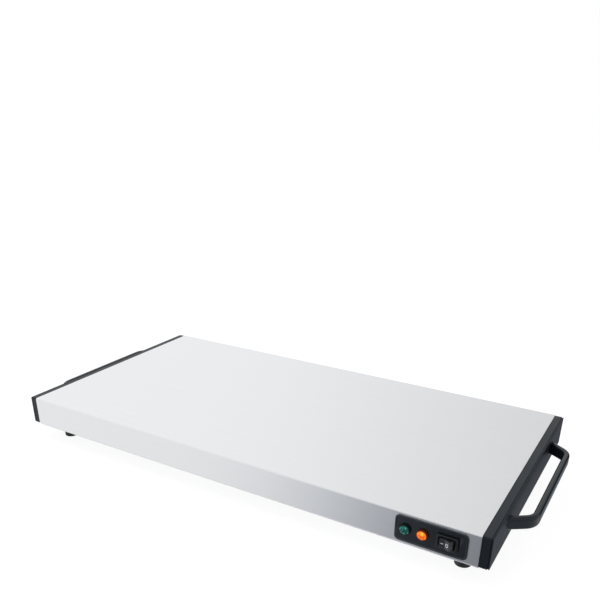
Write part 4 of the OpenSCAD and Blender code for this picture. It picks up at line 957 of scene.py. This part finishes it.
room = bpy.data.worlds.new("studio_room")
bpy.context.scene.world = room
room.use_nodes = True
tree = room.node_tree
look = add_node(tree, "TexCoord").outputs["Generated"]
across = add_node(tree, "SeparateXYZ", {0: look})
level = add_node(tree, "MapRange", {"Value": across.outputs["X"], "From Min": -0.5, "From Max": 0.1,
                                    "To Min": 1.12, "To Max": 0.77}).outputs[0]
low_front = darker_towards(tree, look, (0.1, -0.8, -0.6), 0.81, 0.98, 0.02)
back_horizon = darker_towards(tree, look, (0.48, 0.87, 0.05), 0.88, 0.98, 0.08)
low_back = darker_towards(tree, look, (0.12, 0.87, -0.47), 0.88, 0.98, 0.4)
wide_front = darker_towards(tree, look, (-0.3, -0.8, -0.5), 0.2, 0.6, 0.94)
for patch in (low_front, back_horizon, low_back, wide_front):
    level = add_node(tree, "Math", {0: level, 1: patch}, operation="MULTIPLY").outputs[0]
print("room from 1.12 at the left to 0.77 at the right, with 4 darker patches")

# %% The room's colour
ray = add_node(tree, "LightPath").outputs["Is Camera Ray"]
seen = add_node(tree, "Mix", {0: ray, 2: level, 3: 1.0})
lowest = add_node(tree, "Math", {0: low_front, 1: low_back}, operation="MINIMUM")
cool = add_node(tree, "Mix", {0: lowest.outputs[0], MIX_A: (0.62, 0.76, 1, 1), MIX_B: (1, 1, 1, 1)},
                data_type="RGBA")
tint = add_node(tree, "Mix", {0: ray, MIX_A: cool.outputs[MIX_RESULT], MIX_B: (1, 1, 1, 1)},
                data_type="RGBA")
background = tree.nodes["Background"]
connect(tree, background, Strength=seen.outputs[0], Color=tint.outputs[MIX_RESULT])
print("the room's graph has", len(tree.nodes), "nodes")

# %% [markdown]
# ## Lights
#
# One large soft box hangs over the tray, a little to the left. It is high and large, as plain product
# light is, so shadows stay soft. It stays out of reflections, because the room already gives the steel
# something to mirror, and a bright square on the top would hide the grain.

# %% Soft box
def soft_box(name, place, aim, size, power):
    """A square area lamp at a place in metres that faces a point."""
    lamp = bpy.data.lights.new(name, "AREA")
    lamp.size, lamp.energy = size, power
    made = bpy.data.objects.new(name, lamp)
    bpy.context.scene.collection.objects.link(made)
    made.location = place
    made.rotation_euler = (Vector(aim) - Vector(place)).to_track_quat("-Z", "Y").to_euler()
    return made


top_box = soft_box("top_soft_box", place=(-0.7, -0.2, 2.1), aim=(0, 0, 0), size=1.6, power=12)
top_box.visible_glossy = False
print("lights:", [lamp.name for lamp in bpy.data.lights])

# %% [markdown]
# ## Camera
#
# The camera stands to the front right and looks down at about 26 degrees. Its place and lens were solved from
# the corners of the tray in the photograph. The photograph is a crop, so its middle isn't where the lens
# points, and the lens is shifted by that much.

# %% Camera
AZIMUTH, ELEVATION, ROLL = math.radians(-30.486), math.radians(26.488), 0.00878
CAMERA_PLACE = (0.3992, -0.6627, 0.4065)
forward = np.array([math.sin(AZIMUTH) * math.cos(ELEVATION), math.cos(AZIMUTH) * math.cos(ELEVATION),
                    -math.sin(ELEVATION)])
sideways = np.array([math.cos(AZIMUTH), -math.sin(AZIMUTH), 0.0])
upright = np.cross(sideways, forward)
right = math.cos(ROLL) * sideways + math.sin(ROLL) * upright
above = -math.sin(ROLL) * sideways + math.cos(ROLL) * upright
lens = bpy.data.cameras.new("camera")
lens.sensor_width, lens.lens, lens.shift_x, lens.shift_y = 36.0, 40.59, 0.0054, 0.2211
camera = bpy.data.objects.new("camera", lens)
bpy.context.scene.collection.objects.link(camera)
turn = Matrix([[right[i], above[i], -forward[i]] for i in range(3)]).to_4x4()
camera.matrix_world = Matrix.Translation(CAMERA_PLACE) @ turn
bpy.context.scene.camera = camera
bpy.context.scene.view_settings.view_transform = "Standard"
print("camera at", [round(value, 3) for value in camera.matrix_world.translation])
